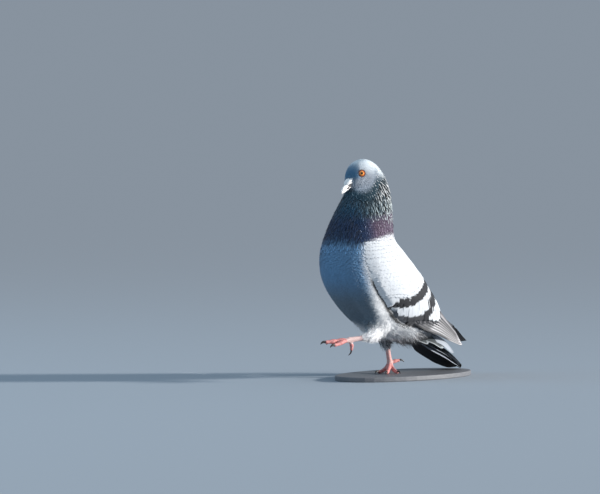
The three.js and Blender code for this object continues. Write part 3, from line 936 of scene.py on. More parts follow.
# %% Colour and scales of the skin
skin_points = np.zeros(len(mesh.vertices) * 3, np.float32)
mesh.vertices.foreach_get("co", skin_points)
skin_points = (skin_points.reshape(-1, 3) - ZERO) * 1000
bare = np.full(len(skin_points), 1e9)
scale_uv = np.zeros((len(skin_points), 2))
for name, (stops, degrees) in limbs.items():
    if name.startswith("claw"):
        continue
    low = np.min([s[0] for s in stops], 0) - 6
    high = np.max([s[0] for s in stops], 0) + 6
    pick = np.where(((skin_points > low) & (skin_points < high)).all(1))[0]
    line = curve([s[0] for s in stops], np.linspace(0, 1, 60))
    run = np.concatenate([[0], np.cumsum(np.linalg.norm(np.diff(line, axis=0), axis=1))])
    away = np.linalg.norm(skin_points[pick, None] - line[None], axis=2)
    k = away.argmin(1)
    radius = np.interp(k, np.linspace(0, 59, len(stops)), [s[1] for s in stops])
    d = away.min(1) - radius
    way = unit(np.gradient(line, axis=0))[k]
    side = limb_side(degrees) if "toe" in name else LEFT
    up = unit(np.cross(way, side))
    out = unit(skin_points[pick] - line[k])
    angle = np.arctan2((out * np.cross(up, way)).sum(1), (out * up).sum(1)) / TAU
    nearer = d < bare[pick]
    sel = pick[nearer]
    bare[sel] = d[nearer]
    scale_uv[sel] = np.column_stack([run[k][nearer], angle[nearer] + 0.5])
leg = rise(bare, 1.4, 0.6)
PINK = (0.84, 0.30, 0.28)
PALE_PINK = (0.92, 0.66, 0.62)
# painted light: the shanks are made paler than the toes, the raised left one fully, the right one by half
left, right = (
    rise(ball_chain(skin_points, limbs[f"shank_{name}"][0]), 2.5, 0.5) for name in ("left", "right")
)
patches = rise(np.sin(skin_points[:, 2] * 1.3 + skin_points[:, 1]), -0.2, 1.4) * 0.4
flesh = mixed(PINK, PALE_PINK, np.clip(patches + (left + 0.5 * right), 0, 1))
tint = mixed(markings(skin_points) * 0.72, flesh, leg)
rgba = np.ones((len(tint), 4), np.float32)
rgba[:, :3] = tint
mesh.color_attributes.new("tint", "FLOAT_COLOR", "POINT").data.foreach_set("color", rgba.ravel())
mesh.attributes.new("bare", "FLOAT", "POINT").data.foreach_set("value", leg.astype(np.float32))
corner = np.zeros(len(mesh.loops), np.int32)
mesh.loops.foreach_get("vertex_index", corner)
mesh.uv_layers.new(name="scales").uv.foreach_set("vector", scale_uv[corner].astype(np.float32).ravel())
print("bare skin:", int((leg > 0.5).sum()), "points")


# %% [markdown]
# The skin's own finish shows only on the legs. Their horny plates run across the front of the shank and the
# top of each toe, about one and a half millimetres apart, and break up into small round scales behind.

# %% Skin finish
def skin_finish():
    material, start, shader = finish("skin_finish", 0.62)
    tint, bare = start.attribute("tint"), start.attribute("bare", out=2)
    uv = start.node("ShaderNodeUVMap", uv_map="scales")
    along, around = uv.part(0), uv.part(1)
    grain = start.noise(900.0, 3.0)
    plates = (along * (TAU / 1.55)).sine().band(-0.95, -0.35)
    front = around.off(0.5).band(0.34, 0.22)
    plates = plates * front + (1 - front) * start.cells(1100.0).band(0.0, 0.12)
    groove = 1 - (1 - plates) * bare
    sockets = {"Factor": (1 - groove) * 0.55, 6: tint, 7: (0.42, 0.16, 0.15, 1)}
    dark = start.node("ShaderNodeMix", out=2, data_type="RGBA", blend_type="MULTIPLY", sockets=sockets)
    normal = (groove + grain * 0.25).bump(0.7, 0.35 * MILLIMETRE)
    wire(shader, Base_Color=dark, Roughness=0.42 + grain * 0.3, Normal=normal)
    return material


mesh.materials.clear()
mesh.materials.append(skin_finish())
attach(skin, "root")
flesh_nodes = ["head", "neck", "trunk", "wing_left", "wing_right", "thigh_right", "thigh_left"]
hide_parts(*flesh_nodes, *[n for n in limbs if not n.startswith("claw")])
print("skin finish:", mesh.materials[0].name)

# %% [markdown]
# ## Laying feathers
# A body feather is a thin curved blade. Its root sits on the skin, its tip lies on top of the next feathers,
# and it points along the lie of the coat, which runs from bill to tail. `vanes` makes any number of such
# blades at once. Each follows the form under it, rises from the skin's depth to the coat's outside, and is
# rounded across. Roots are spread by throwing darts: a new root is kept when none is closer than a gap.

# %% Spread the roots
rng = np.random.default_rng(41)
NEIGHBOURS = list(product((-1, 0, 1), repeat=3))


def everywhere(p):
    return np.ones(p.shape[:-1], bool)


def spread(form, gap, allowed=everywhere, tries=7.0, t_low=0.0, t_high=1.0):
    """Roots (t, a) on a form, evenly spread, where allowed(points) says so."""
    area = np.linalg.norm(np.cross(form.by_t, form.by_a), axis=-1)
    steps, around = area.shape
    rows = np.linspace(0, 1, steps)
    area = area * ((rows >= t_low) & (rows <= t_high))[:, None] * allowed(form.points)
    count = int(tries * area.sum() / (steps * around) / gap**2)
    cell = rng.choice(area.size, size=count, p=(area / area.sum()).ravel())
    t = (cell // around + rng.random(count) - 0.5) / (steps - 1)
    a = (cell % around + rng.random(count) - 0.5) / around
    t = np.clip(t, 0, 1)
    points = form.place(t, a)
    keep, cells = [], {}
    for i, (cube, (x, y, z)) in enumerate(zip(np.floor(points / gap).astype(int).tolist(), points.tolist())):
        near = (
            q for d in NEIGHBOURS for q in cells.get((cube[0] + d[0], cube[1] + d[1], cube[2] + d[2]), ())
        )
        if all((x - q[0]) ** 2 + (y - q[1]) ** 2 + (z - q[2]) ** 2 >= gap * gap for q in near):
            cells.setdefault(tuple(cube), []).append((x, y, z))
            keep.append(i)
    return t[keep], a[keep] % 1


print("a root looks for others in", len(NEIGHBOURS), "cubes")

# %% Outlines of the vanes: how wide each is from root to tip
ROUND = ([0, 0.3, 0.58, 0.82, 0.95, 1], [0.30, 0.82, 1.0, 0.82, 0.46, 0.10])
POINTED = ([0, 0.3, 0.6, 0.85, 1], [0.35, 0.9, 0.9, 0.5, 0.04])
SMALL = ([0, 0.4, 0.75, 1], [0.4, 1.0, 0.8, 0.15])
print("outlines:", [len(outline[0]) for outline in (ROUND, POINTED, SMALL)], "rows")


# %% Blades from roots
def vanes(
    form, t, a, length, width, depth, outline=ROUND, cols=2, camber=0.10, lean=None, lift=0.0, fray=0.07,
    curl=0.0, loose=1.0, steep=1.25, tile=0.0,
):
    """Points of many blades (N, rows, cols + 1, 3), with their v and u. Sizes may be arrays."""
    n = len(t)
    length, width, depth = (
        np.broadcast_to(np.asarray(x, float), n)[:, None, None] for x in (length, width, depth)
    )
    normal = form.normal(t, a)
    way = unit(form.read(form.by_t, t, a))
    if lean is not None:
        way = lean(form.place(t, a))
        way = unit(way - (way * normal).sum(-1, keepdims=True) * normal)
    turn = rng.normal(0, 0.03 + 0.06 * loose, n)[:, None]
    side = np.cross(normal, way)
    way, side = way * np.cos(turn) + side * np.sin(turn), side * np.cos(turn) - way * np.sin(turn)
    by_way, by_side = (by[:, :, None, None] for by in form.steps_for(t, a, [way, side]))
    v = np.asarray(outline[0], float)[None, :, None]
    u = np.linspace(-1, 1, cols + 1)
    wide = (width[..., 0] * np.asarray(outline[1], float) * (1 + rng.normal(0, fray, (n, v.size))))[..., None]
    bend = rng.normal(0, 1, n)[:, None, None]
    along = length * v * (1 - 0.07 * (u**2))
    across = wide * u / 2 + curl * length * (v**2) * bend
    tt = t[:, None, None] + by_way[:, 0] * along + by_side[:, 0] * across
    aa = a[:, None, None] + by_way[:, 1] * along + by_side[:, 1] * across
    tip = rng.normal(0, 0.12 * loose, n)[:, None, None] + lift
    roll = rng.normal(0, 0.06 * loose, n)[:, None, None] * wide * u
    height = -depth * (1 - v) ** steep + tip * v**2 - camber * wide * u**2 + roll + tile * wide * u
    height = np.maximum(height, -depth)
    points = form.place(tt, aa) + form.normal(tt, aa) * height[..., None]
    return points, np.broadcast_to(v, points.shape[:3]), np.broadcast_to(u, points.shape[:3])


PATCH = 0.003  # how far across a small feather's place in the bake map is


class Coat:
    """Gathers blades of every size, and makes one mesh of them."""

    def __init__(self, name):
        self.name, self.size = name, 0
        self.points, self.faces, self.tints, self.vane, self.bake = [], [], [], [], []

    def add(self, points, v, u, tint, patch, size=PATCH):
        """points (N, R, C, 3); patch (N, 2) is where each blade's small square lies in the bake map."""
        n, rows, cols = points.shape[:3]
        each = rows * cols
        starts = self.size + np.arange(n)[:, None, None] * each
        self.faces.append((starts + grid_faces(rows, cols)[None]).reshape(-1, 4))
        self.points.append(points.reshape(-1, 3))
        self.tints.append(np.broadcast_to(tint, points.shape).reshape(-1, 3))
        uv = np.stack([(u + 1) / 2, v], -1)
        self.vane.append(uv.reshape(-1, 2))
        centre = np.clip(patch, PATCH, 1 - PATCH)[:, None, None]
        self.bake.append((centre + (uv - 0.5) * size).reshape(-1, 2))
        self.size += n * each

    def make(self, material, slot, *nodes):
        points, faces, tints = (np.vstack(x) for x in (self.points, self.faces, self.tints))
        uvs = {"OFBake": np.vstack(self.bake), "vane": np.vstack(self.vane)}
        made = piece(self.name, points, faces, tints, uvs)
        made.data.materials.append(material)
        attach(made, "root")
        if nodes:
            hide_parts(*nodes)
        print(f"{self.name}: {len(faces) * 2} triangles")


print("a small feather's place in the bake map is", PATCH, "across")

# %% [markdown]
# ## Feather finish
# Every blade carries its colour as a point attribute, and a small UV map of its own called `vane`, which is
# 0.5 across at the shaft and 1 along at the tip. From that map come the shaft, a fine raised line, and the
# barbs, hair-fine ridges that slant from the shaft to the edge.


# %% Feather material
def feather_finish(name, roughness, metallic=0.0, barbs=26.0, gloss=0.3):
    constants = {"Metallic": metallic, "Sheen_Weight": 0.15, "Specular_IOR_Level": gloss}
    material, start, shader = finish(name, roughness, **constants)
    uv = start.node("ShaderNodeUVMap", uv_map="vane")
    along, out = uv.part(1), uv.part(0).off(0.5)
    ridge = ((along * barbs - out * barbs * 0.7) * TAU).sine() * 0.5 + 0.5
    shaft = 1 - out.band(0.012, 0.045)
    mottle = start.noise(420.0, 3.0, 0.6)
    shade = 0.86 + ridge * 0.10 + mottle * 0.08 - shaft * 0.10
    sockets = {0: start.attribute("tint"), "Scale": shade}
    colour = start.node("ShaderNodeVectorMath", operation="SCALE", sockets=sockets)
    normal = (ridge * 0.5 + shaft + mottle * 0.3).bump(0.35, 0.12 * MILLIMETRE)
    wire(shader, Base_Color=colour, Roughness=roughness - 0.08 + mottle * 0.16, Normal=normal)
    return material


plume = feather_finish("plume_finish", 0.72)
hackle = feather_finish("hackle_finish", 0.42, metallic=0.15, barbs=10.0, gloss=0.5)
quill = feather_finish("quill_finish", 0.55, barbs=90.0, gloss=0.4)


def jitter(tint, n, amount):
    """One slightly different shade for every blade."""
    return tint * (1 + rng.normal(0, amount, n)[:, None])


print("feather finishes:", plume.name, hackle.name, quill.name)


# %% [markdown]
# ## Eyes and bill come first
# The head's feathers must leave room for the eye and the bill, so these places are set before the coat.

# %% Places on the head
EYE_RADIUS = 5.2
EYES = {"left": turned(at(39.8, 245.2, 10)), "right": turned(at(39.8, 245.2, -10))}
EYE_WAY = {name: unit(c - turned(at(33.5, 243.8, 0))) for name, c in EYES.items()}
BILL_PITCH = math.radians(36)
BILL_WAY = at(math.cos(BILL_PITCH), -math.sin(BILL_PITCH))
BILL_RISE = at(math.sin(BILL_PITCH), math.cos(BILL_PITCH))
BILL_ROOT = at(48.5, 233.6)


def on_bill(out, up, left=0.0):
    return turned(BILL_ROOT + BILL_WAY * out + BILL_RISE * up + LEFT * left)


LID_RADIUS = 4.75


def clear_of_eye(p, room=LID_RADIUS):
    free = np.ones(p.shape[:-1], bool)
    for name, c in EYES.items():
        rel = p - c
        axial = (rel * EYE_WAY[name]).sum(-1)
        radial = np.linalg.norm(rel - axial[..., None] * EYE_WAY[name], axis=-1)
        free &= ~((radial < room) & (axial > 0))
    return free


def clear_of_bill(p):
    rel = p - on_bill(0, 0)
    out = (rel * BILL_WAY).sum(-1)
    up = (rel * BILL_RISE).sum(-1)
    beside = np.abs(p[..., 0] - on_bill(0, 0)[0])
    return ~((out > -2.6) & (beside < 5.0) & (up < 7.6) & (up > -4.4))


print("the eyes are", round(float(np.linalg.norm(EYES["left"] - EYES["right"])), 1), "mm apart")


# %% [markdown]
# ## The coat, zone by zone
# Head feathers are tiny and lie flat like velvet. On the neck they grow long and narrow, and split into
# pointed hackles that glint green and purple. Breast and belly have soft rounded blades.

# %% Head
head_coat = Coat("coat_head")


def above_face_line(p, more=0.0):
    f, u = -p[..., 1], p[..., 2]
    return u - level(f, FACE_LINE) > more


def in_head(p):
    return above_face_line(p, -7) & clear_of_eye(p, LID_RADIUS + 0.15) & clear_of_bill(p)


t, a = spread(bare_form, 0.85, in_head, tries=10, t_high=0.5)
root = bare_form.place(t, a)
size = 0.62 + 0.38 * rise(np.linalg.norm(root - on_bill(2, 2), axis=1), 6, 26)
points, v, u = vanes(bare_form, t, a, 5.2 * size, 2.5 * size, 1.1, SMALL, 2, camber=0.10, fray=0.1, loose=0.5)
tip = points[:, -2, 1]
tint = jitter(markings(tip, 0 * t), len(t), 0.05)[:, None, None] * (0.90 + 0.16 * v[..., None] ** 2)
free = clear_of_eye(points, LID_RADIUS - 0.1).all((1, 2)) & clear_of_bill(points[:, -1, 1])
head_coat.add(points[free], v[free], u[free], tint[free], np.column_stack([a, t * 1.6])[free])
head_coat.make(plume, "plumage_head")

# %% Neck
neck_coat = Coat("coat_neck")


def in_neck(p):
    f, u = -p[..., 1], p[..., 2]
    return ~above_face_line(p, 3) & (u > level(f, BREAST_LINE) - 2) & clear_of_bill(p)


def neck_parts(p):
    """How far a point is on the nape, on the purple band's rear, and away from the face."""
    f, u = -p[:, 1], p[:, 2]
    back = rise(f, 56, 16)
    return back * rise(u, 182, 200), back * (1 - rise(u, 182, 200)), rise(level(f, FACE_LINE) - u, -2, 20)


t, a = spread(bare_form, 1.45, in_neck, tries=9, t_high=0.65)
root = bare_form.place(t, a)
nape, band, down = neck_parts(root)
points, v, u = vanes(
    bare_form, t, a, 4.6 + 4.6 * down, 2.0 + 0.9 * down, 1.4 + 0.8 * down, POINTED, 2, camber=0.2, lift=-0.1,
    fray=0.12, curl=0.03, loose=0.8
)
colour = jitter(markings(points[:, -2, 1], 0 * t), len(t), 0.12)
# partly the hackles' own dark bases, partly painted shade in the gaps between the strands laid over them
shade = (0.92 - 0.84 * np.maximum(nape, 0.7 * band) * down)[:, None, None, None]
tint = colour[:, None, None] * shade * (0.55 + 0.45 * v[..., None] ** 1.5)
neck_coat.add(points, v, u, tint, np.column_stack([a, t]))
# paler, narrower strands lie over these, and start a little higher on the nape
t, a = spread(
    bare_form, 2.75, lambda p: in_neck(p - at(0, 6) * rise(-p[..., 1:2], 36, 20)), tries=9, t_high=0.65
)
root = bare_form.place(t, a)
nape, band, down = neck_parts(root)
points, v, u = vanes(
    bare_form, t, a, 4.8 + 4.6 * down, 1.35 + 0.55 * down, 0.7, POINTED, 2, camber=0.25,
    lift=0.5 + 0.35 * nape[:, None, None], fray=0.15, curl=0.06, loose=1.3
)
colour = jitter(markings(points[:, -2, 1], 0 * t), len(t), 0.10)
# painted glint: the strands are brightened at random, to silver on the nape, most at its back, and to lilac
# below
glint = rng.random(len(t))
silver = mixed((0.80, 0.92, 0.94), (0.98, 0.99, 1.0), rise(root[:, 2], 205, 230))
lilac = (0.46, 0.39, 0.50)
pale = colour * (1.2 + 0.8 * glint)[:, None]
back = rise(-root[:, 1], 24, 2)
pale = mixed(pale, silver, nape * (0.10 + 0.90 * rise(glint + 0.25 * back, 0.30, 0.60)))
pale = mixed(pale, lilac, band * (0.10 + 0.65 * glint))
s = (v**0.8)[..., None]
start = mixed(0.4 * colour, 0.7 * pale, nape * rise(down, 0.45, 0.1))
tint = start[:, None, None] * (1 - s) + pale[:, None, None] * s
neck_coat.add(points, v, u, tint, np.column_stack([a, t]))
neck_coat.make(hackle, "plumage_neck")

# %% Breast, flanks, belly and vent
body_coat = Coat("coat_body")


def in_body(p):
    f, u = -p[..., 1], p[..., 2]
    return (u < level(f, BREAST_LINE) + 4) & (wing_share(p) < 0.75)


t, a = spread(body_form_out, 1.95, in_body, tries=9, t_low=0.38)
root = body_form_out.place(t, a)
lower = rise(root[:, 2], 95, 55)
length, width = 9.5 + 4.0 * lower, 6.2 + 1.6 * lower
points, v, u = vanes(
    body_form_out, t, a, length, width, 2.6, ROUND, 2, camber=0.07,
    lift=0.05 + 0.5 * lower[:, None, None] * rng.random(len(t))[:, None, None], fray=0.09,
    loose=0.4 + 0.6 * lower.mean(), steep=1.7
)
colour = jitter(markings(points[:, -3, 1], 0 * t), len(t), 0.035)
tint = colour[:, None, None] * (0.80 + 0.2 * v[..., None] ** 1.5) * gap_shade(points)[..., None]
body_coat.add(points, v, u, tint, np.column_stack([a, t]))
body_coat.make(plume, "plumage_body")

# %% [markdown]
# ## Flight feathers
# The long feathers of wing and tail are few and stiff. Each is one blade along a curved centre line, with a
# narrow outer vane and a wide inner one. Eight on each wing are stacked so that only their edges show as
# steps, and two layers of twelve close the tail. They replace the solids that hold their place in the frame.


# %% One long blade
def blades(coat, centres, sides, outs, left_half, right_half, tint, patch, size, camber=0.06, cols=6):
    """centres (N, R, 3) with side and outward vectors of the same shape, and half widths (N, R)."""
    n, rows = centres.shape[:2]
    u = np.linspace(-1, 1, cols + 1)
    half = np.where(u < 0, left_half[..., None], right_half[..., None])
    across = half * u
    sunk = (camber * np.abs(across) * np.abs(u))[..., None]
    points = centres[:, :, None] + sides[:, :, None] * across[..., None] - outs[:, :, None] * sunk
    v = np.broadcast_to(np.linspace(0, 1, rows)[None, :, None], points.shape[:3])
    uu = np.broadcast_to(u, points.shape[:3])
    coat.add(points, v, uu, tint(v, uu), patch, size)


def rounded_tip(s, blunt=0.12):
    """Half width along a blade: full for most of it, and rounded off over the last part."""
    e = np.clip((s - (1 - blunt)) / blunt, 0, 1)
    return (0.62 + 0.38 * rise(s, 0, 0.25)) * np.sqrt(np.maximum(1 - e**2, 0.003))


print("half width at root, middle and tip:", rounded_tip(np.array([0, 0.5, 1])).round(2))


# %% [markdown]
# ## Wing coverts
# The shoulder is tiled with small rounded coverts, which grow longer towards the rear. A bar is no stripe of
# paint: it is a row of feathers with dark ends. A texture would cut through them, so small coverts are dark
# or pale as a whole, by where their ends lie, and the greater ones get a dark end as long as the bar is
# wide. The bars then get their scalloped edges by themselves.


# %% Rows of the wing
BAR_LINE = curve(
    [[62, 88], [19, 90.3], [12, 89.8], [5, 89.6], *BAR_FRONT[3:], [-74, 133], [-120, 166]],
    np.linspace(0, 1, 80)
)


def wing_row(p):
    """How many mm a point lies behind the front bar. The feathers stand in rows of equal value."""
    d, side, _ = to_line(-p[..., 1], p[..., 2], BAR_LINE)
    return -d * side


def down_wing(p):
    """The way in which wing_row grows: across the rows, towards the feathers' ends."""
    e = 1.5
    f = wing_row(p + at(e, 0)) - wing_row(p - at(e, 0))
    u = wing_row(p + at(0, e)) - wing_row(p - at(0, e))
    return np.stack([0 * f, -f, u], -1)


ROW_T, ROW_A = np.linspace(0.42, 0.985, 420), np.linspace(0.003, 0.5, 220)
row_points = coat_form.place(ROW_T[:, None], ROW_A[None])
row_values, row_share = wing_row(row_points), wing_share(row_points)


def row_roots(value, gap, start, least=0.35):
    """Roots (t, a) at equal gaps along one row of the left wing, from the back down to the front edge."""
    past = row_values >= value
    first = np.maximum(past.argmax(0), 1)
    j = np.arange(len(ROW_A))
    low, high = row_values[first - 1, j], row_values[first, j]
    s = np.clip((value - low) / np.maximum(high - low, 1e-6), 0, 1)
    t = ROW_T[first - 1] + s * (ROW_T[1] - ROW_T[0])
    ok = past.any(0) & (past.argmax(0) > 0) & (row_share[first, j] > least)
    if ok.sum() < 2:
        return np.zeros(0), np.zeros(0)
    t, a = t[ok], ROW_A[ok]
    line = coat_form.place(t, a)
    step = np.linalg.norm(np.diff(line, axis=0), axis=1)
    step[step > 6] = 0
    run = np.concatenate([[0], np.cumsum(step)])
    stops = np.arange(gap * start, run[-1], gap)
    return np.interp(stops, run, t), np.interp(stops, run, a)


print("the row whose ends make the front bar has", len(row_roots(-17.0, 8.2, 0.55)[0]), "roots on each wing")

# %% A row of coverts
wing_coat = Coat("coat_wings")


def covert_row(
    value, gap, start, length, width, depth, lift, tint_of, outline=ROUND, cols=4, camber=0.012, least=0.35
):
    for mirror in (False, True):
        t, a = row_roots(value, gap, start, least)
        if len(t) == 0:
            return
        t = t + rng.normal(0, 0.0012, len(t))
        a = a + rng.normal(0, 0.0015, len(a))
        if mirror:
            a = 1 - a
        small = 0.62 + 0.38 * rise(coat_form.place(t, a)[:, 2], 168, 138)
        points, v, u = vanes(
            coat_form, t, a, length * small, width * (0.25 + 0.75 * small), depth, outline, cols,
            camber=camber, lean=down_wing, lift=lift, fray=0.03, loose=0.06, steep=2.2,
            tile=-0.016 if mirror else 0.016
        )
        wing_coat.add(points, v, u, tint_of(points, v, u), np.column_stack([a % 1, t]))


def pale_tint(points, v, u):
    shade = 1 + rng.normal(0, 0.02, len(points))[:, None, None, None]
    return np.asarray(WING) * shade * (1 - 0.06 * (v[..., None] < 0.5))


def wing_tint(points, v, u):
    """Each covert is pale or dark as a whole, by where its end lies."""
    colour = jitter(markings(points[:, -2, points.shape[2] // 2], np.ones(len(points))), len(points), 0.02)
    rim = 1 - 0.10 * (v[..., None] < 0.5) + 0.04 * (np.abs(u[..., None]) > 0.9)
    return colour[:, None, None] * rim


print("coverts are between", CHARCOAL, "and", WING)


# %% Small coverts, row by row
def in_wing(p):
    return wing_share(p) > 0.4


# an underlayer closes every gap between the rows
t, a = spread(coat_form, 4.2, in_wing, t_low=0.45)
points, v, u = vanes(
    coat_form, t, a, 12.0, 9.0, 2.4, ROUND, 2, camber=0.05, lean=down_wing, lift=-0.9, fray=0.04
)
wing_coat.add(points, v, u, wing_tint(points, v, u) * gap_shade(points)[..., None], np.column_stack([a, t]))
value, k = -11.5, 0
while value > -125:
    near = rise(value, -90, -20)
    step = 2.7 + 2.0 * near
    covert_row(
        value - 8.5, 3.4 + 2.6 * near, 0.5 + 0.5 * (k % 2), 9.0 + 5.5 * near, 6.4 + 4.2 * near,
        0.8 + 0.5 * near, 0.0, wing_tint
    )
    value, k = value - step, k + 1
# one line of coverts along the spine closes the seam between the two sides
t = np.arange(0.44, 0.96, 0.008)
t = t[in_wing(coat_form.place(t, 0 * t))]
a = rng.normal(0, 0.006, len(t))
points, v, u = vanes(
    coat_form, t, a, 9.5, 8.5, 1.0, ROUND, 4, camber=0.10, lean=down_wing, lift=0.15, fray=0.03, loose=0.1,
    steep=2.2
)
wing_coat.add(points, v, u, wing_tint(points, v, u), np.column_stack([a % 1, t]))
print("covert rows:", k, "and", len(t), "coverts on the spine")


# %% Greater coverts with the front bar
def bar_tint(points, v, u):
    """Pale, with a dark end as long as the bar is wide here."""
    n = len(points)
    tips = points[:, -1, points.shape[2] // 2]
    f, top = -tips[:, 1], tips[:, 2]
    _, _, half = to_line(f, top, BAR_FRONT, BAR_FRONT_HALF)
    reach = np.where(f > 20, 0, half * 2.35 + rng.normal(0, 0.25, n))
    along = np.linalg.norm(points - tips[:, None, None], axis=-1)
    dark = rise(reach[:, None, None] - along, -0.2, 0.2)
    pale = np.asarray(WING) * (1 + rng.normal(0, 0.015, n))[:, None, None, None]
    return pale * (1 - dark[..., None]) + np.asarray(CHARCOAL) * dark[..., None]


GREATER = (
    list(np.linspace(0, 0.8, 9)) + [0.9, 0.97, 1.0],
    [0.5, 0.7, 0.85, 0.93, 0.98, 1.0, 1.0, 0.98, 0.92, 0.76, 0.45, 0.12]
)
covert_row(-17.0, 8.2, 0.55, 23.0, 13.5, 2.3, 0.40, bar_tint, GREATER, 6, camber=0.02)
covert_row(-16.4, 6.0, 0.9, 11.5, 10.0, 1.6, 0.55, pale_tint, ROUND, 4)
covert_row(-20.0, 6.0, 0.4, 11.5, 10.0, 1.6, 0.55, pale_tint, ROUND, 4)
print("blades on the wings so far:", wing_coat.size // 25)

# %% [markdown]
# ## Secondaries
# Behind the front bar lie the long secondaries, pale with a second dark bar and dusky ends. They are too long
# to be laid by one step from the root. So each gets a line of control points in the side view, which is
# dropped onto the wing's surface, and a blade is drawn along the curve through them.

# %% From the side view onto the wing
side_rows, side_cols = range(140, coat_form.points.shape[0]), range(0, coat_form.points.shape[1] // 2, 2)
side_tree = KDTree(len(side_rows) * len(side_cols))
for i in side_rows:
    for j in side_cols:
        q = coat_form.points[i, j]
        side_tree.insert((-q[1], q[2], 0), i * 1000 + j)
side_tree.balance()


def on_side(f, u, sign):
    """The surface point and normal of the wing that the side view shows at (f, u)."""
    found = side_tree.find((f, u, 0))[1]
    i, j = found // 1000, found % 1000
    p, n = coat_form.points[i, j].copy(), coat_form.normals[i, j].copy()
    p[1], p[2] = -f, u
    if sign < 0:
        p[0], n[0] = -p[0], -n[0]
    return p, n


print("the wing is", round(2 * float(on_side(-40, 90, 1)[0][0])), "mm broad where the rear bar crosses it")


def long_blade(coat, stops, sign, rows, half, tint, patch, size=0.04, camber=0.04, cols=6, outer=1.0):
    """One blade through stops of (f, u, lift), or (point, normal) where it leaves the wing."""
    found = [s if len(s) == 2 else on_side(s[0], s[1], sign) for s in stops]
    lifts = [0.0 if len(s) == 2 else s[2] for s in stops]
    normals = unit(curve([n for _, n in found], np.linspace(0, 1, rows)))
    line = curve([p + n * h for (p, n), h in zip(found, lifts)], np.linspace(0, 1, rows))
    way = unit(np.gradient(line, axis=0))
    out = unit(normals - (normals * way).sum(-1, keepdims=True) * way)
    side = np.cross(way, out) * sign
    blades(
        coat, line[None], side[None], out[None], half[None], half[None] * outer, tint, np.array([patch]),
        size, camber, cols
    )


# %% Secondaries with the rear bar
def secondary_tint(line_of):
    def shade(v, u):
        middle = line_of(np.clip(v + 0.035 * u**2 - 0.012, 0, 1))
        shaft = 1 - 0.06 * rise(0.06 - np.abs(u), 0, 0.06)
        rim = 1 + 0.03 * (np.abs(u) > 0.9)
        return markings(middle, np.ones(middle.shape[:-1])) * shaft[..., None] * rim[..., None]

    return shade


SECOND_ROOTS = [
    [19, 90], [11, 92], [3, 93.5], [-5, 96], [-13, 99.5], [-20.5, 103.5], [-28, 108], [-35, 112.5],
    [-41, 116.5], [-47, 118], [-52, 118], [-57, 113]
]
SECOND_TIPS = [
    [14, 71], [5, 67], [-4, 65.5], [-13, 66], [-22, 66.5], [-31, 67], [-40, 66.5], [-49, 65.5], [-58, 65],
    [-67, 65.5], [-76, 66.5], [-86, 71]
]
SECOND_LIFTS = [(0, -1.6), (0.3, -0.2), (0.6, 0.35), (0.8, 0.5), (1.0, 0.55)]  # (how far along, height)
for sign in (1, -1):
    for j, (root, tip) in enumerate(zip(SECOND_ROOTS, SECOND_TIPS)):
        root, tip = np.array(root), np.array(tip) + rng.normal(0, 0.6, 2)
        # each lies a little higher than the one before it, and the last two sink in again
        more = 0.07 * min(j, 7) - 0.25 * max(j - 9, 0)
        stops = [(*(root + (tip - root) * s), lift + more) for s, lift in SECOND_LIFTS]
        middle = curve([on_side(f, u, sign)[0] for f, u, _ in stops], np.linspace(0, 1, 60))

        def line_of(v, middle=middle):
            return middle[np.round(v * 59).astype(int)]

        s = np.linspace(0, 1, 26)
        half = (5.3 + 0.12 * j) * rounded_tip(s, 0.10)
        long_blade(
            wing_coat, stops, sign, 26, half, secondary_tint(line_of),
            (0.05 + 0.075 * j, 0.06 if sign > 0 else 0.12), 0.05, camber=0.03
        )
wing_coat.make(plume, "plumage_wing")

# %% [markdown]
# ## Down
# Round the legs and under the tail the plumage is loose. Its barbs don't hook together, so each feather is
# a tuft of separate threads. Thin tapering strips, a dozen from each root, stand out a little and curl.


# %% Tufts of threads
THREAD = [(0, 0.7), (0.4, 1.0), (0.75, 0.75), (1, 0.12)]  # (how far along a thread, how wide there)


def tufts(coat, form, t, a, length, colour, threads, stand, depth, thick=0.34):
    n = len(t)
    normal = form.normal(t, a)
    way = unit(form.read(form.by_t, t, a))
    side = unit(np.cross(normal, way))
    root = form.place(t, a) - normal * depth
    shape = (n, threads)
    out = rng.normal(stand, 0.22, shape)[..., None]
    fan = rng.normal(0, 0.42, shape)[..., None]
    go = unit(way[:, None] + normal[:, None] * out + side[:, None] * fan)
    long = (np.broadcast_to(length, n)[:, None] * rng.uniform(0.65, 1.15, shape))[..., None]
    flat = unit(np.cross(go, unit(rng.normal(0, 1, (*shape, 3)))))
    droop = rng.normal(-0.18, 0.22, shape)[..., None]
    bend = normal[:, None] * droop + way[:, None] * 0.15 + side[:, None] * droop * 0.8
    rows = []
    for s, w in THREAD:
        mid = root[:, None] + go * long * s + bend * long * s * s
        rows.append(np.stack([mid - flat * thick * w / 2, mid + flat * thick * w / 2], 2))
    points = np.stack(rows, 2)  # tufts, threads, rows, 2, 3
    v = np.broadcast_to(np.array([s for s, w in THREAD])[:, None], points.shape[:4])
    u = np.broadcast_to(np.array([-1.0, 1.0]), points.shape[:4])
    shade = rng.uniform(0.85, 1.12, shape)[:, :, None, None, None]
    tint = colour[:, None, None, None] * (0.78 + 0.3 * v[..., None]) * shade
    patch = np.repeat(np.column_stack([a, t]), threads, 0)
    points, v, u, tint = (x.reshape(n * threads, *x.shape[2:]) for x in (points, v, u, tint))
    coat.add(points, v, u, tint, patch)


print("a thread has", len(THREAD), "rows")

# %% Down below the body and round the thighs
down_coat = Coat("coat_down")


def in_down(p):
    f, u = -p[..., 1], p[..., 2]
    return (u < 66) & (f < 16) & (f > -46) & (wing_share(p) < 0.2)


t, a = spread(body_form_out, 3.0, in_down, t_low=0.7)
root = body_form_out.place(t, a)
low = rise(root[:, 2], 66, 50)
shade = rng.uniform(0.72, 1.22, len(t))[:, None]
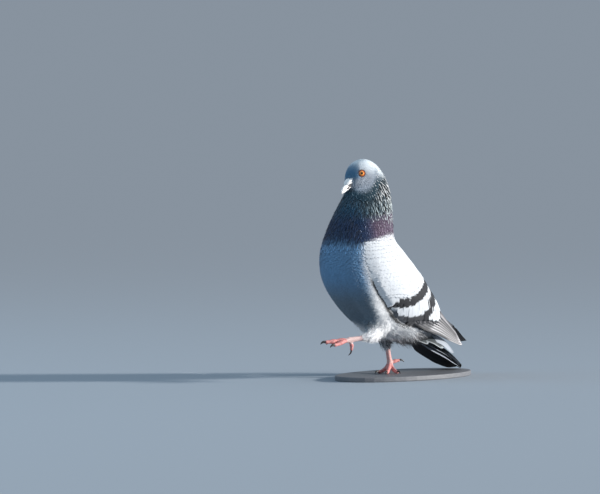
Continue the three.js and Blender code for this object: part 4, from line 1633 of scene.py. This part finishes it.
# painted light: tufts higher than 48 mm are made up to a quarter brighter, where the low sun reaches them
colour = markings(root, 0 * t) * shade * (1 + 0.25 * rise(root[:, 2], 48, 56))[:, None]
tufts(down_coat, body_form_out, t, a, 7.5 + 4.0 * low, colour, threads=14, stand=0.42, depth=0.8)
for side_name in ("right", "left"):
    form = Surface(tube(THIGHS[side_name], LEFT, 120, 96))
    t, a = spread(form, 2.2, t_low=0.42, t_high=0.97)
    lower = rise(t, 0.45, 0.95)
    # painted light: the raised left thigh's end is made whiter than the right's, where the sun reaches it
    end_tint = (0.95, 0.95, 0.97) if side_name == "left" else (0.84, 0.85, 0.88)
    grey = jitter(mixed(markings(form.place(t, a), 0 * t), end_tint, rise(t, 0.45, 0.75)), len(t), 0.06)
    points, v, u = vanes(
        form, t, a, 8.0 - 3.6 * lower, 4.6 - 2.2 * lower, 1.9 - 0.9 * lower, ROUND, 2, camber=0.08, lift=0.2,
        fray=0.12
    )
    colour = grey[:, None, None] * (0.8 + 0.2 * v[..., None])
    down_coat.add(points, v, u, colour, np.column_stack([a, t]))
    t, a = spread(form, 2.1, t_low=0.40)
    lower = rise(t, 0.45, 0.95)
    grey = jitter(mixed(markings(form.place(t, a), 0 * t), end_tint, rise(t, 0.45, 0.70)), len(t), 0.10)
    tufts(down_coat, form, t, a, 7.5 - 3.0 * lower, grey, threads=12, stand=0.45, depth=0.9)
down_coat.make(plume, "plumage_body")

# %% [markdown]
# ## Primaries
# Eight primaries of each wing leave it from under the secondaries and close over the tail, where the right
# bundle lies on the left one. Their roots are dropped onto the wing, as for the secondaries. From there on
# nothing lies under them, so three more places are given in space, each with the way that is outwards there.

# %% Colours of the primaries
def lerp(a, b, q):
    return np.asarray(a, float) * (1 - q) + np.asarray(b, float) * q


# painted light: the far wing's vanes are lighter than the near one's upper blades, the near lower ones palest
EDGE_SHADOW = (0.012, 0.012, 0.015)
NEAR_INNER, NEAR_UPPER, NEAR_LOWER = (0.16, 0.155, 0.165), (0.38, 0.365, 0.375), (0.74, 0.72, 0.735)
FAR_INNER, FAR_OUTER, FAR_TIP = (0.46, 0.45, 0.46), (0.50, 0.49, 0.50), (0.008, 0.009, 0.013)


def near_web(v, u, q):
    """Pale outer vanes with a painted shadow line between them, dusky where they leave the wing."""
    web = mixed(NEAR_INNER, lerp(NEAR_UPPER, NEAR_LOWER, min(1.6 * q, 1)), rise(u, -0.30, -0.02))
    web = mixed(web, EDGE_SHADOW, rise(u, 0.74, 0.90))
    web = mixed(web, DUSK, rise(v, 0.34, 0.24) * 0.85)
    return mixed(web, (0.014, 0.014, 0.018), (q > 0.9) * rise(u, 0.35, 0.60) * rise(v, 0.80, 0.66))


def far_web(v, u, q):
    """Even grey vanes with painted shadow lines at their edges, and black ends."""
    web = mixed(FAR_INNER, FAR_OUTER, rise(u, -0.30, -0.02))
    web = mixed(web, EDGE_SHADOW, rise(u, 0.76, 0.92) * rise(q, 0, 0.1))
    return mixed(web, FAR_TIP, rise(v, 0.91 - 0.14 * q, 0.96 - 0.13 * q))


print("near vane:", near_web(0.6, 0.4, 0.5).round(2), "far vane:", far_web(0.6, 0.4, 0.5).round(2))

# %% Primaries
flight_coat = Coat("flight_feathers_wing")
ROWS = 30
for sign in (1, -1):
    near = sign > 0  # the bird's left wing ends under the right one
    web_of, blunt, narrowing = (near_web, 0.07, 0.15) if near else (far_web, 0.05, 0.10)
    early_out = unit(np.array([sign * 0.93, 0.30, 0.10]))
    middle_out = unit(np.array([sign * 0.88, 0.34, 0.28]))
    free = unit(np.array([0.80, 0.28, 0.48] if near else [-0.74, 0.34, 0.48]))
    for i in range(8):
        q = i / 7  # 0 is the inner, upper blade and 1 the outer, lower one
        stack = (1.3 if near else 1.0) * (1 - 2 * q)
        start = (*lerp((-56, 79), (-20, 64.5), q), -0.6 + stack - (0 if near else 1.6 - 1.6 * q))
        if near:
            early = at(*lerp((-72, 73.5), (-48, 57.0), q), 33.5 + 4.5 * q)
            middle = at(*lerp((-91, 65.5), (-80, 49.5), q), 24 + 3.5 * q)
            late = at(*lerp((-116, 54.0), (-110, 41.0), q), 12 + 5.5 * q)
            tip = at(*lerp((-134, 44.0), (-147, 31.5), q), 6.5 - 0.5 * q)
        else:
            early = at(*lerp((-72, 74.0), (-48, 57.0), q), -31.7 - 6.3 * q)
            middle = at(*lerp((-92, 70.0), (-81, 50.5), q), -23 - 4.5 * q)
            late = at(*lerp((-119, 62.5), (-115, 47.5), q), -6 - 6 * q)
            tip = at(*lerp((-140, 50.0), (-162.5, 35.0), q**0.6), -1 - 0.8 * q)
        stops = [start, (early + early_out * stack, early_out), (middle + middle_out * stack, middle_out)]
        stops += [(late + free * stack, free), (tip + free * stack * 0.7, free)]
        s = np.linspace(0, 1, ROWS)
        half = 3.0 * rounded_tip(s, blunt) * (1 - narrowing * rise(s, 0.55, 0.95))

        def shade(v, u, web_of=web_of, q=q):
            shaft = 1 - 0.4 * rise(0.06 - np.abs(u + 0.15), 0, 0.06)
            return web_of(v, u, q) * shaft[..., None]

        patch = (0.10 + 0.10 * i, 0.25 if near else 0.75)
        long_blade(
            flight_coat, stops, sign, ROWS, half, shade, patch, 0.07, camber=0.02, cols=12,
            outer=1.5 if near else 1.35
        )
flight_coat.make(quill, "flight_feathers", "primaries_left", "primaries_right")

# %% [markdown]
# ## Tail
# The tail is a closed fan: the middle feathers lie on top, and each next one a little lower and further out,
# with its outer part turned down. A spin would give the fan but not the turn, so every blade follows the
# frame's own centre line, shifted and tilted by its place in the fan. A second, dark layer is the underside.
# The under layer is made near black: partly its own dark grey, partly painted shade.

# %% Tail
tail_coat = Coat("flight_feathers_tail")
TAIL = [
    [at(-62, 46.5), 12, 4], [at(-84, 38), 18.5, 3.6], [at(-106, 28.5), 20.5, 3.4], [at(-125, 17.5), 19, 2.8],
    [at(-136, 9.5), 15, 2], [at(-145.5, 2.2), 8, 1]
]
TAIL_INNER, TAIL_OUTER, TAIL_BAND = (0.10, 0.11, 0.13), (0.48, 0.53, 0.60), (0.012, 0.013, 0.017)
TAIL_UNDER, UNDER_EDGE = ((0.012, 0.014, 0.019), (0.02, 0.023, 0.03)), (0.30, 0.33, 0.38)
LAST_LEFT, LAST_DARK = (0.56, 0.61, 0.68), (0.03, 0.033, 0.04)
steps = np.linspace(0, 1, ROWS)
for under, i in product((0, 1), range(12)):
    q = i - 5.5
    far = abs(q) / 5.5  # 0 in the middle, 1 at the outer blades
    s = np.linspace(0.04, 0.995 - 0.035 * far, ROWS)
    line = curve([p[0] for p in TAIL], s)
    wide = curve([float(p[1]) for p in TAIL], s)
    way = unit(np.gradient(line, axis=0))
    out = unit(np.cross(np.broadcast_to(LEFT, way.shape), way))
    side = unit(np.cross(way, out))
    droop = (np.sign(q) * far**1.5 * (0.62 - 0.27 * steps))[:, None]
    side, out = side * np.cos(droop) - out * np.sin(droop), out * np.cos(droop) + side * np.sin(droop)
    shift = (np.sign(q) * far * np.maximum(wide - 7.0, 1.5))[:, None]
    height = (1.2 - 1.6 * far - 2.0 * far**2 * rise(steps, 1.0, 0.5) - 0.5 * under)[:, None]
    centre = line + side * shift + out * height
    half = np.minimum(8.0 * rounded_tip(steps, 0.09), np.maximum(wide + 1.0 - np.abs(shift[:, 0]), 0.6))

    def shade(v, u, q=q, far=far, under=under):
        outer = rise(u * np.sign(q), -0.05, 0.15)
        web = mixed(TAIL_INNER, TAIL_OUTER, np.maximum(outer, far < 0.1))
        # painted shade: the under layer is near black, with paler edges on the left outer blades
        if under:
            web = mixed(mixed(*TAIL_UNDER, outer), UNDER_EDGE, outer * (q > 3))
        # painted shade: only the left top blade keeps its pale outer vane, the others get LAST_DARK
        if far > 0.9:
            last = LAST_LEFT if q > 0 and not under else LAST_DARK
            web = mixed(web, last, outer * rise(v, 0.40, 0.50))
        web = mixed(web, TAIL_BAND, rise(v, 0.72 + 0.10 * far, 0.79 + 0.10 * far))
        shaft = 1 - 0.4 * rise(0.10 - np.abs(u), 0, 0.1)
        return web * shaft[..., None]

    patch = np.array([[0.08 + 0.075 * i, 0.45 + 0.08 * under]])
    blades(
        tail_coat, centre[None], side[None], out[None], half[None], half[None], shade, patch, 0.06,
        camber=0.05
    )
highest, lowest = round(TAIL[0][0][2]), round(TAIL[-1][0][2])
print("tail blades: 2 layers of 12, from", highest, "to", lowest, "mm above the base")

# %% [markdown]
# ## Tail coverts
# Coverts hide the roots of the tail above and below. They are big rounded body feathers, slate grey with a
# paler edge, in rows that overlap like tiles. At the sides three longer ones lie over the tail's edge, and
# these are laid one by one as long blades.

# %% Tiles above and below the tail
ABOVE, BELOW = 0.5, 0.0  # on the tail's tube the turn starts at its underside
SLATE_RIM, PALE_RIM = (0.30, 0.33, 0.37), (0.50, 0.55, 0.58)
tail_form = Surface(tube([[p, w, h + 1.0] for p, w, h in TAIL], LEFT, 160, 96))


def tile(form, t_from, t_to, rows, count, arc, length, width, centre_a, tint_of, depth=1.4, lift=0.0):
    tt, aa = [], []
    for k in range(rows):
        m = count - (k % 2)
        tt += [t_from + (t_to - t_from) * k / max(rows - 1, 1)] * m
        aa += [centre_a + arc * ((j + 0.5) / m - 0.5) for j in range(m)]
    tt, aa = np.array(tt) + rng.normal(0, 0.006, len(tt)), np.array(aa) + rng.normal(0, 0.006, len(aa))
    points, v, u = vanes(form, tt, aa, length, width, depth, ROUND, 4, camber=0.05, lift=lift, fray=0.02)
    patch = np.column_stack([aa % 1, 0.02 + 0.3 * tt + (0.6 if centre_a == ABOVE else 0.0)])
    tail_coat.add(points, v, u, tint_of(v, u), patch, 0.02)


def rump_tint(v, u):
    return mixed(SLATE_RIM, (0.44, 0.47, 0.51), rise(np.abs(u) + v, 1.2, 1.8))


def under_tint(v, u):
    return mixed((0.030, 0.040, 0.047), PALE_RIM, rise(np.maximum(np.abs(u), v), 0.80, 0.97))


tile(tail_form, 0.22, 0.02, 5, 4, 0.24, 17, 12, ABOVE, rump_tint, lift=-1.2)
tile(tail_form, 0.16, 0.0, 4, 4, 0.34, 21, 16, BELOW, under_tint, lift=0.3)
print("tail form:", tail_form.points.shape)

# %% Large coverts at the tail's sides
SIDE_COVERTS = [  # (line of (forward, up, out), half width, how dark)
    ([(-70, 47.5, 12), (-94, 38.0, 18), (-119, 22.5, 16)], 6.5, 0.0),
    ([(-60, 46.5, 9), (-78, 41.0, 17), (-97, 30.5, 19)], 7.5, 1.0),
    ([(-50, 44.5, 8), (-60, 42.0, 14), (-71, 37.5, 17)], 6.5, 1.0),
]
s = np.linspace(0, 1, 18)
for sign in (1, -1):
    out = unit(np.array([sign * 0.80, 0.22, 0.52]))
    for k, (line, half, dark) in enumerate(SIDE_COVERTS):
        stops = [(at(f, u, sign * l) + out * 0.5 * k, out) for f, u, l in line]

        def shade(v, u, dark=dark):
            edge = rise(np.maximum(np.abs(u), v), 0.80, 0.97)
            pale = mixed((0.42, 0.46, 0.52), SLATE_RIM, edge)
            slate = mixed((0.040, 0.052, 0.060), PALE_RIM, edge)
            return pale * (1 - dark) + slate * dark

        half = half * rounded_tip(s, 0.30) * rise(s, -0.4, 0.2)
        patch = (0.15 + 0.2 * k, 0.85 + 0.04 * sign)
        long_blade(tail_coat, stops, sign, 18, half, shade, patch, 0.03, camber=0.12, cols=8)
tail_coat.make(quill, "flight_feathers", "tail")

# %% [markdown]
# ## Eyes
# A pigeon's eye is a glossy ball with an orange iris, a round black pupil and a dark rim, set in a narrow
# ring of bare grey skin. The ball starts as a sphere whose pole looks outwards, so that rings of its mesh
# follow the iris. A point attribute holds how far each point is from the pole, and the colours read it.


# %% Eyeballs
def primitive(name):
    made = bpy.context.active_object
    made.name = made.data.name = name
    return made


def settle(made, way, place, material):
    """Turns the object's upper side to a way, moves it to a place, and writes both into its mesh."""
    turn = Vector(way).to_track_quat("Z", "Y").to_matrix().to_4x4()
    turn.translation = Vector(world(place))
    made.data.transform(turn)
    bpy.ops.object.shade_smooth()
    made.data.materials.append(material)


BLACK, RIM = (0.004, 0.004, 0.005), (0.012, 0.010, 0.010)
ORANGE, DEEP_ORANGE = (0.82, 0.33, 0.035), (0.85, 0.30, 0.03)
RED, BROWN = (0.72, 0.15, 0.015), (0.34, 0.05, 0.01)


def eye_finish():
    material, start, shader = finish("eye_finish", 0.12, Coat_Weight=1.0, Coat_Roughness=0.03)
    r = start.attribute("away", out=2) + (start.noise(1900.0, 4.0, 0.7) - 0.5) * 0.05
    pupil = ((0.0, BLACK), (0.25, BLACK))
    iris = ((0.29, ORANGE), (0.40, DEEP_ORANGE), (0.66, RED), (0.80, BROWN))
    wire(shader, Base_Color=r.ramp(*pupil, *iris, (0.88, RIM)))
    return material


eye_material = eye_finish()
for side_name, centre in EYES.items():
    bpy.ops.object.select_all(action="DESELECT")
    bpy.ops.mesh.primitive_uv_sphere_add(segments=40, ring_count=28, radius=(EYE_RADIUS - 0.1) * MILLIMETRE)
    ball = primitive(f"eyeball_{side_name}")
    local = np.array([v.co for v in ball.data.vertices])
    from_pole = np.arccos(np.clip(local[:, 2] / np.linalg.norm(local, axis=1), -1, 1))
    ball.data.attributes.new("away", "FLOAT", "POINT").data.foreach_set("value", from_pole.astype(np.float32))
    # the clear front bulges a little more than the ball
    for v, r in zip(ball.data.vertices, from_pole):
        v.co *= 1 + 0.03 * max(0, 1 - (r / 0.75) ** 2)
    settle(ball, EYE_WAY[side_name], centre - EYE_WAY[side_name] * 0.35, eye_material)
    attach(ball, "root")
    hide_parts(f"eye_{side_name}")
print("eyes at", {k: v.round(1).tolist() for k, v in EYES.items()})

# %% [markdown]
# A narrow ring of bare, folded skin closes round each eye. It starts as a torus, which is given eighteen
# slight folds, and is made a little longer than high, as the opening is.

# %% Lids
def lid_finish():
    material, start, shader = finish("lid_finish", 0.5)
    fold = start.cells(2400.0)
    colour = fold.ramp((0.0, (0.10, 0.085, 0.09)), (0.25, (0.30, 0.26, 0.265)))
    wire(shader, Base_Color=colour, Normal=fold.bump(0.5, 0.15 * MILLIMETRE))
    return material


lid_material = lid_finish()
for side_name, centre in EYES.items():
    bpy.ops.object.select_all(action="DESELECT")
    radii = {"major_radius": (LID_RADIUS - 0.25) * MILLIMETRE, "minor_radius": 0.62 * MILLIMETRE}
    bpy.ops.mesh.primitive_torus_add(major_segments=64, minor_segments=14, **radii)
    lid = primitive(f"lid_{side_name}")
    for v in lid.data.vertices:
        angle = math.atan2(v.co.y, v.co.x)
        v.co *= 1 + 0.01 * math.cos(18 * angle)
        v.co *= Vector((1.04, 0.95, 1.35))
    settle(lid, EYE_WAY[side_name], centre + EYE_WAY[side_name] * 2.35, lid_material)
    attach(lid, "root")
print("lids:", round(2 * LID_RADIUS, 1), "mm across")

# %% [markdown]
# ## Bill and cere
# The bill is short and slender. Its upper half ends in a small hook over the lower one. At its root the cere,
# a pair of chalky white swellings, covers the slits of the nostrils.

# %% Bill
BILL_LENGTH = 19


def bill_finish():
    material, start, shader = finish("bill_finish", 0.38, Coat_Weight=0.25)
    cloud, streak = start.noise(260.0, 5.0, 0.6), start.noise(1300.0, 2.0)
    colour = cloud.ramp((0.3, (0.72, 0.68, 0.66)), (0.5, (0.84, 0.81, 0.79)), (0.75, (0.92, 0.90, 0.88)))
    normal = (streak + cloud).bump(0.25, 0.1 * MILLIMETRE)
    wire(shader, Base_Color=colour, Roughness=0.3 + streak * 0.25, Normal=normal)
    return material


def tubes(name, rings, material, slot, *nodes):
    """One object from shut tubes, with its finish and its place in the model."""
    made = tube_piece(name, rings)
    made.data.materials.append(material)
    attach(made, "root")
    if nodes:
        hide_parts(*nodes)


def bill_tube(stops, steps, around, left=0.0):
    """A tube whose stops are (out, up, radii...) along the bill, or (out, up, left, radius) beside it."""
    if left:
        stops = [[on_bill(out, up, left * beside), *radii] for out, up, beside, *radii in stops]
    else:
        stops = [[on_bill(out, up), *radii] for out, up, *radii in stops]
    return tube(stops, steps=steps, around=around)


bill_material = bill_finish()
TOP = [
    (-5, 1.2, 4.1, 2.7), (0, 1.1, 3.9, 2.6), (0.3 * BILL_LENGTH, 1.0, 3.3, 2.3),
    (0.6 * BILL_LENGTH, 1.1, 2.7, 2.2), (0.8 * BILL_LENGTH, 0.6, 2.2, 2.0),
    (0.93 * BILL_LENGTH, -0.6, 1.5, 1.6), (1.0 * BILL_LENGTH, -2.4, 0.5, 0.7)
]
BOTTOM = [
    (-5, -2.5, 3.7, 1.5), (0.3 * BILL_LENGTH, -2.5, 3.0, 1.35), (0.6 * BILL_LENGTH, -2.3, 2.2, 1.1),
    (0.8 * BILL_LENGTH, -2.2, 1.4, 0.75), (0.9 * BILL_LENGTH, -2.1, 0.5, 0.35)
]
tubes("bill_top", [bill_tube(TOP, 40, 24)], bill_material, "bill_horn", "bill_upper")
tubes("bill_bottom", [bill_tube(BOTTOM, 30, 20)], bill_material, "bill_horn", "bill_lower")
print("bill:", BILL_LENGTH, "mm long, pitched down by", round(math.degrees(BILL_PITCH)), "degrees")


# %% [markdown]
# The cere's two lobes are shut tubes that swell and shrink along the bill. The nostrils and the line of the
# mouth are too narrow to cut, so thin dark slits are set half into the horn.

# %% Cere
def cere_finish():
    material, start, shader = finish("cere_finish", 0.85)
    grain = start.noise(1500.0, 5.0, 0.7)
    colour = grain.ramp((0.35, (0.88, 0.86, 0.85)), (0.6, (0.96, 0.95, 0.94)))
    wire(shader, Base_Color=colour, Normal=grain.bump(0.6, 0.2 * MILLIMETRE))
    return material


CERE = [
    (-4.5, 2.2, 2.4, 2.2, 2.1), (-0.5, 3.0, 2.6, 3.1, 3.0), (3.6, 3.0, 2.2, 2.9, 2.6),
    (6.6, 2.6, 1.6, 1.6, 1.4), (7.8, 2.3, 1.3, 0.4, 0.4)
]
NOSTRIL = [(0.5, 0.9, 4.7, 0.1), (3.0, 0.8, 4.3, 0.5), (5.6, 1.1, 3.5, 0.5), (7.6, 1.7, 2.6, 0.1)]
MOUTH = [(-3.0, -1.3, 3.9, 0.1), (0, -1.25, 3.85, 0.34), (6, -1.15, 3.15, 0.30), (12.5, -1.1, 2.3, 0.1)]
tubes("cere_lobes", [bill_tube(CERE, 26, 20, sign) for sign in (1, -1)], cere_finish(), "cere", "cere")
# painted shade: dark slits stand for the shadow inside the nostrils and along the mouth's line
slit_finish = finish("slit_finish", 0.6, Base_Color=(0.055, 0.040, 0.042, 1))[0]
slits = [bill_tube(*slit, 8, sign) for sign in (1, -1) for slit in ((NOSTRIL, 14), (MOUTH, 20))]
tubes("bill_slits", slits, slit_finish, "bill_horn")
print("cere: 2 lobes, and", len(slits), "slits")

# %% [markdown]
# ## Claws
# Each claw is a short curved cone of dark horn that grows out of the toe's end. It is a tube along the same
# line as the toe, so the two always meet.


# %% Claws
def claw_finish():
    material, start, shader = finish("claw_finish", 0.35, Coat_Weight=0.3)
    streak = start.noise(900.0, 4.0)
    colour = streak.ramp((0.35, (0.018, 0.015, 0.015)), (0.7, (0.075, 0.060, 0.055)))
    normal = streak.bump(0.3, 0.1 * MILLIMETRE)
    wire(shader, Base_Color=colour, Roughness=0.28 + streak * 0.2, Normal=normal)
    return material


claw_material = claw_finish()
claws = [name for name in limbs if name.startswith("claw")]
for name in claws:
    tubes(name.replace("claw", "nail"), [limb_ring(name, 20, 14)], claw_material, "claw_horn", name)
print("claws:", len(claws))


# %% [markdown]
# ## Base and floor
# The base is the frame's own plate, with a finish of fine-grained painted wood. The floor is plain and pale.


# %% Base finish
def base_finish():
    material, start, shader = finish("base_finish", 0.5)
    sockets = {"Vector": start.node("ShaderNodeTexCoord", out=3), "Scale": (60.0, 6.0, 60.0)}
    grain = start.noise(9.0, 7.0, 0.65, where=start.node("ShaderNodeMapping", sockets=sockets))
    fine = start.noise(900.0, 3.0)
    colour = grain.ramp((0.3, (0.145, 0.150, 0.165)), (0.7, (0.215, 0.220, 0.235)))
    normal = (grain + fine * 0.3).bump(0.25, 0.2 * MILLIMETRE)
    wire(shader, Base_Color=colour, Roughness=0.42 + fine * 0.2, Normal=normal)
    return material


base = frame["nodes"]["stand_base"]
base.data.materials.clear()
base.data.materials.append(base_finish())
print("base:", base.name)

# %% Floor
bpy.ops.object.select_all(action="DESELECT")
bpy.ops.mesh.primitive_plane_add(size=400)
floor = primitive("floor")
plain = finish("floor_finish", 0.9, Base_Color=(*FLOOR_COLOUR, 1), Specular_IOR_Level=0.0)[0]
floor.data.materials.append(plain)
floor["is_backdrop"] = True
print("floor:", [round(side) for side in floor.dimensions])

# %% Sizes, and the end
low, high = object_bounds()
for k in range(3):
    side = cad_high[k] - cad_low[k]
    below, above = (round(float(past) * 1000, 2) for past in (cad_low[k] - low[k], high[k] - cad_high[k]))
    print("xyz"[k], "below", below, "above", above, "of", round(side * 30 + 10, 2), "mm allowed")
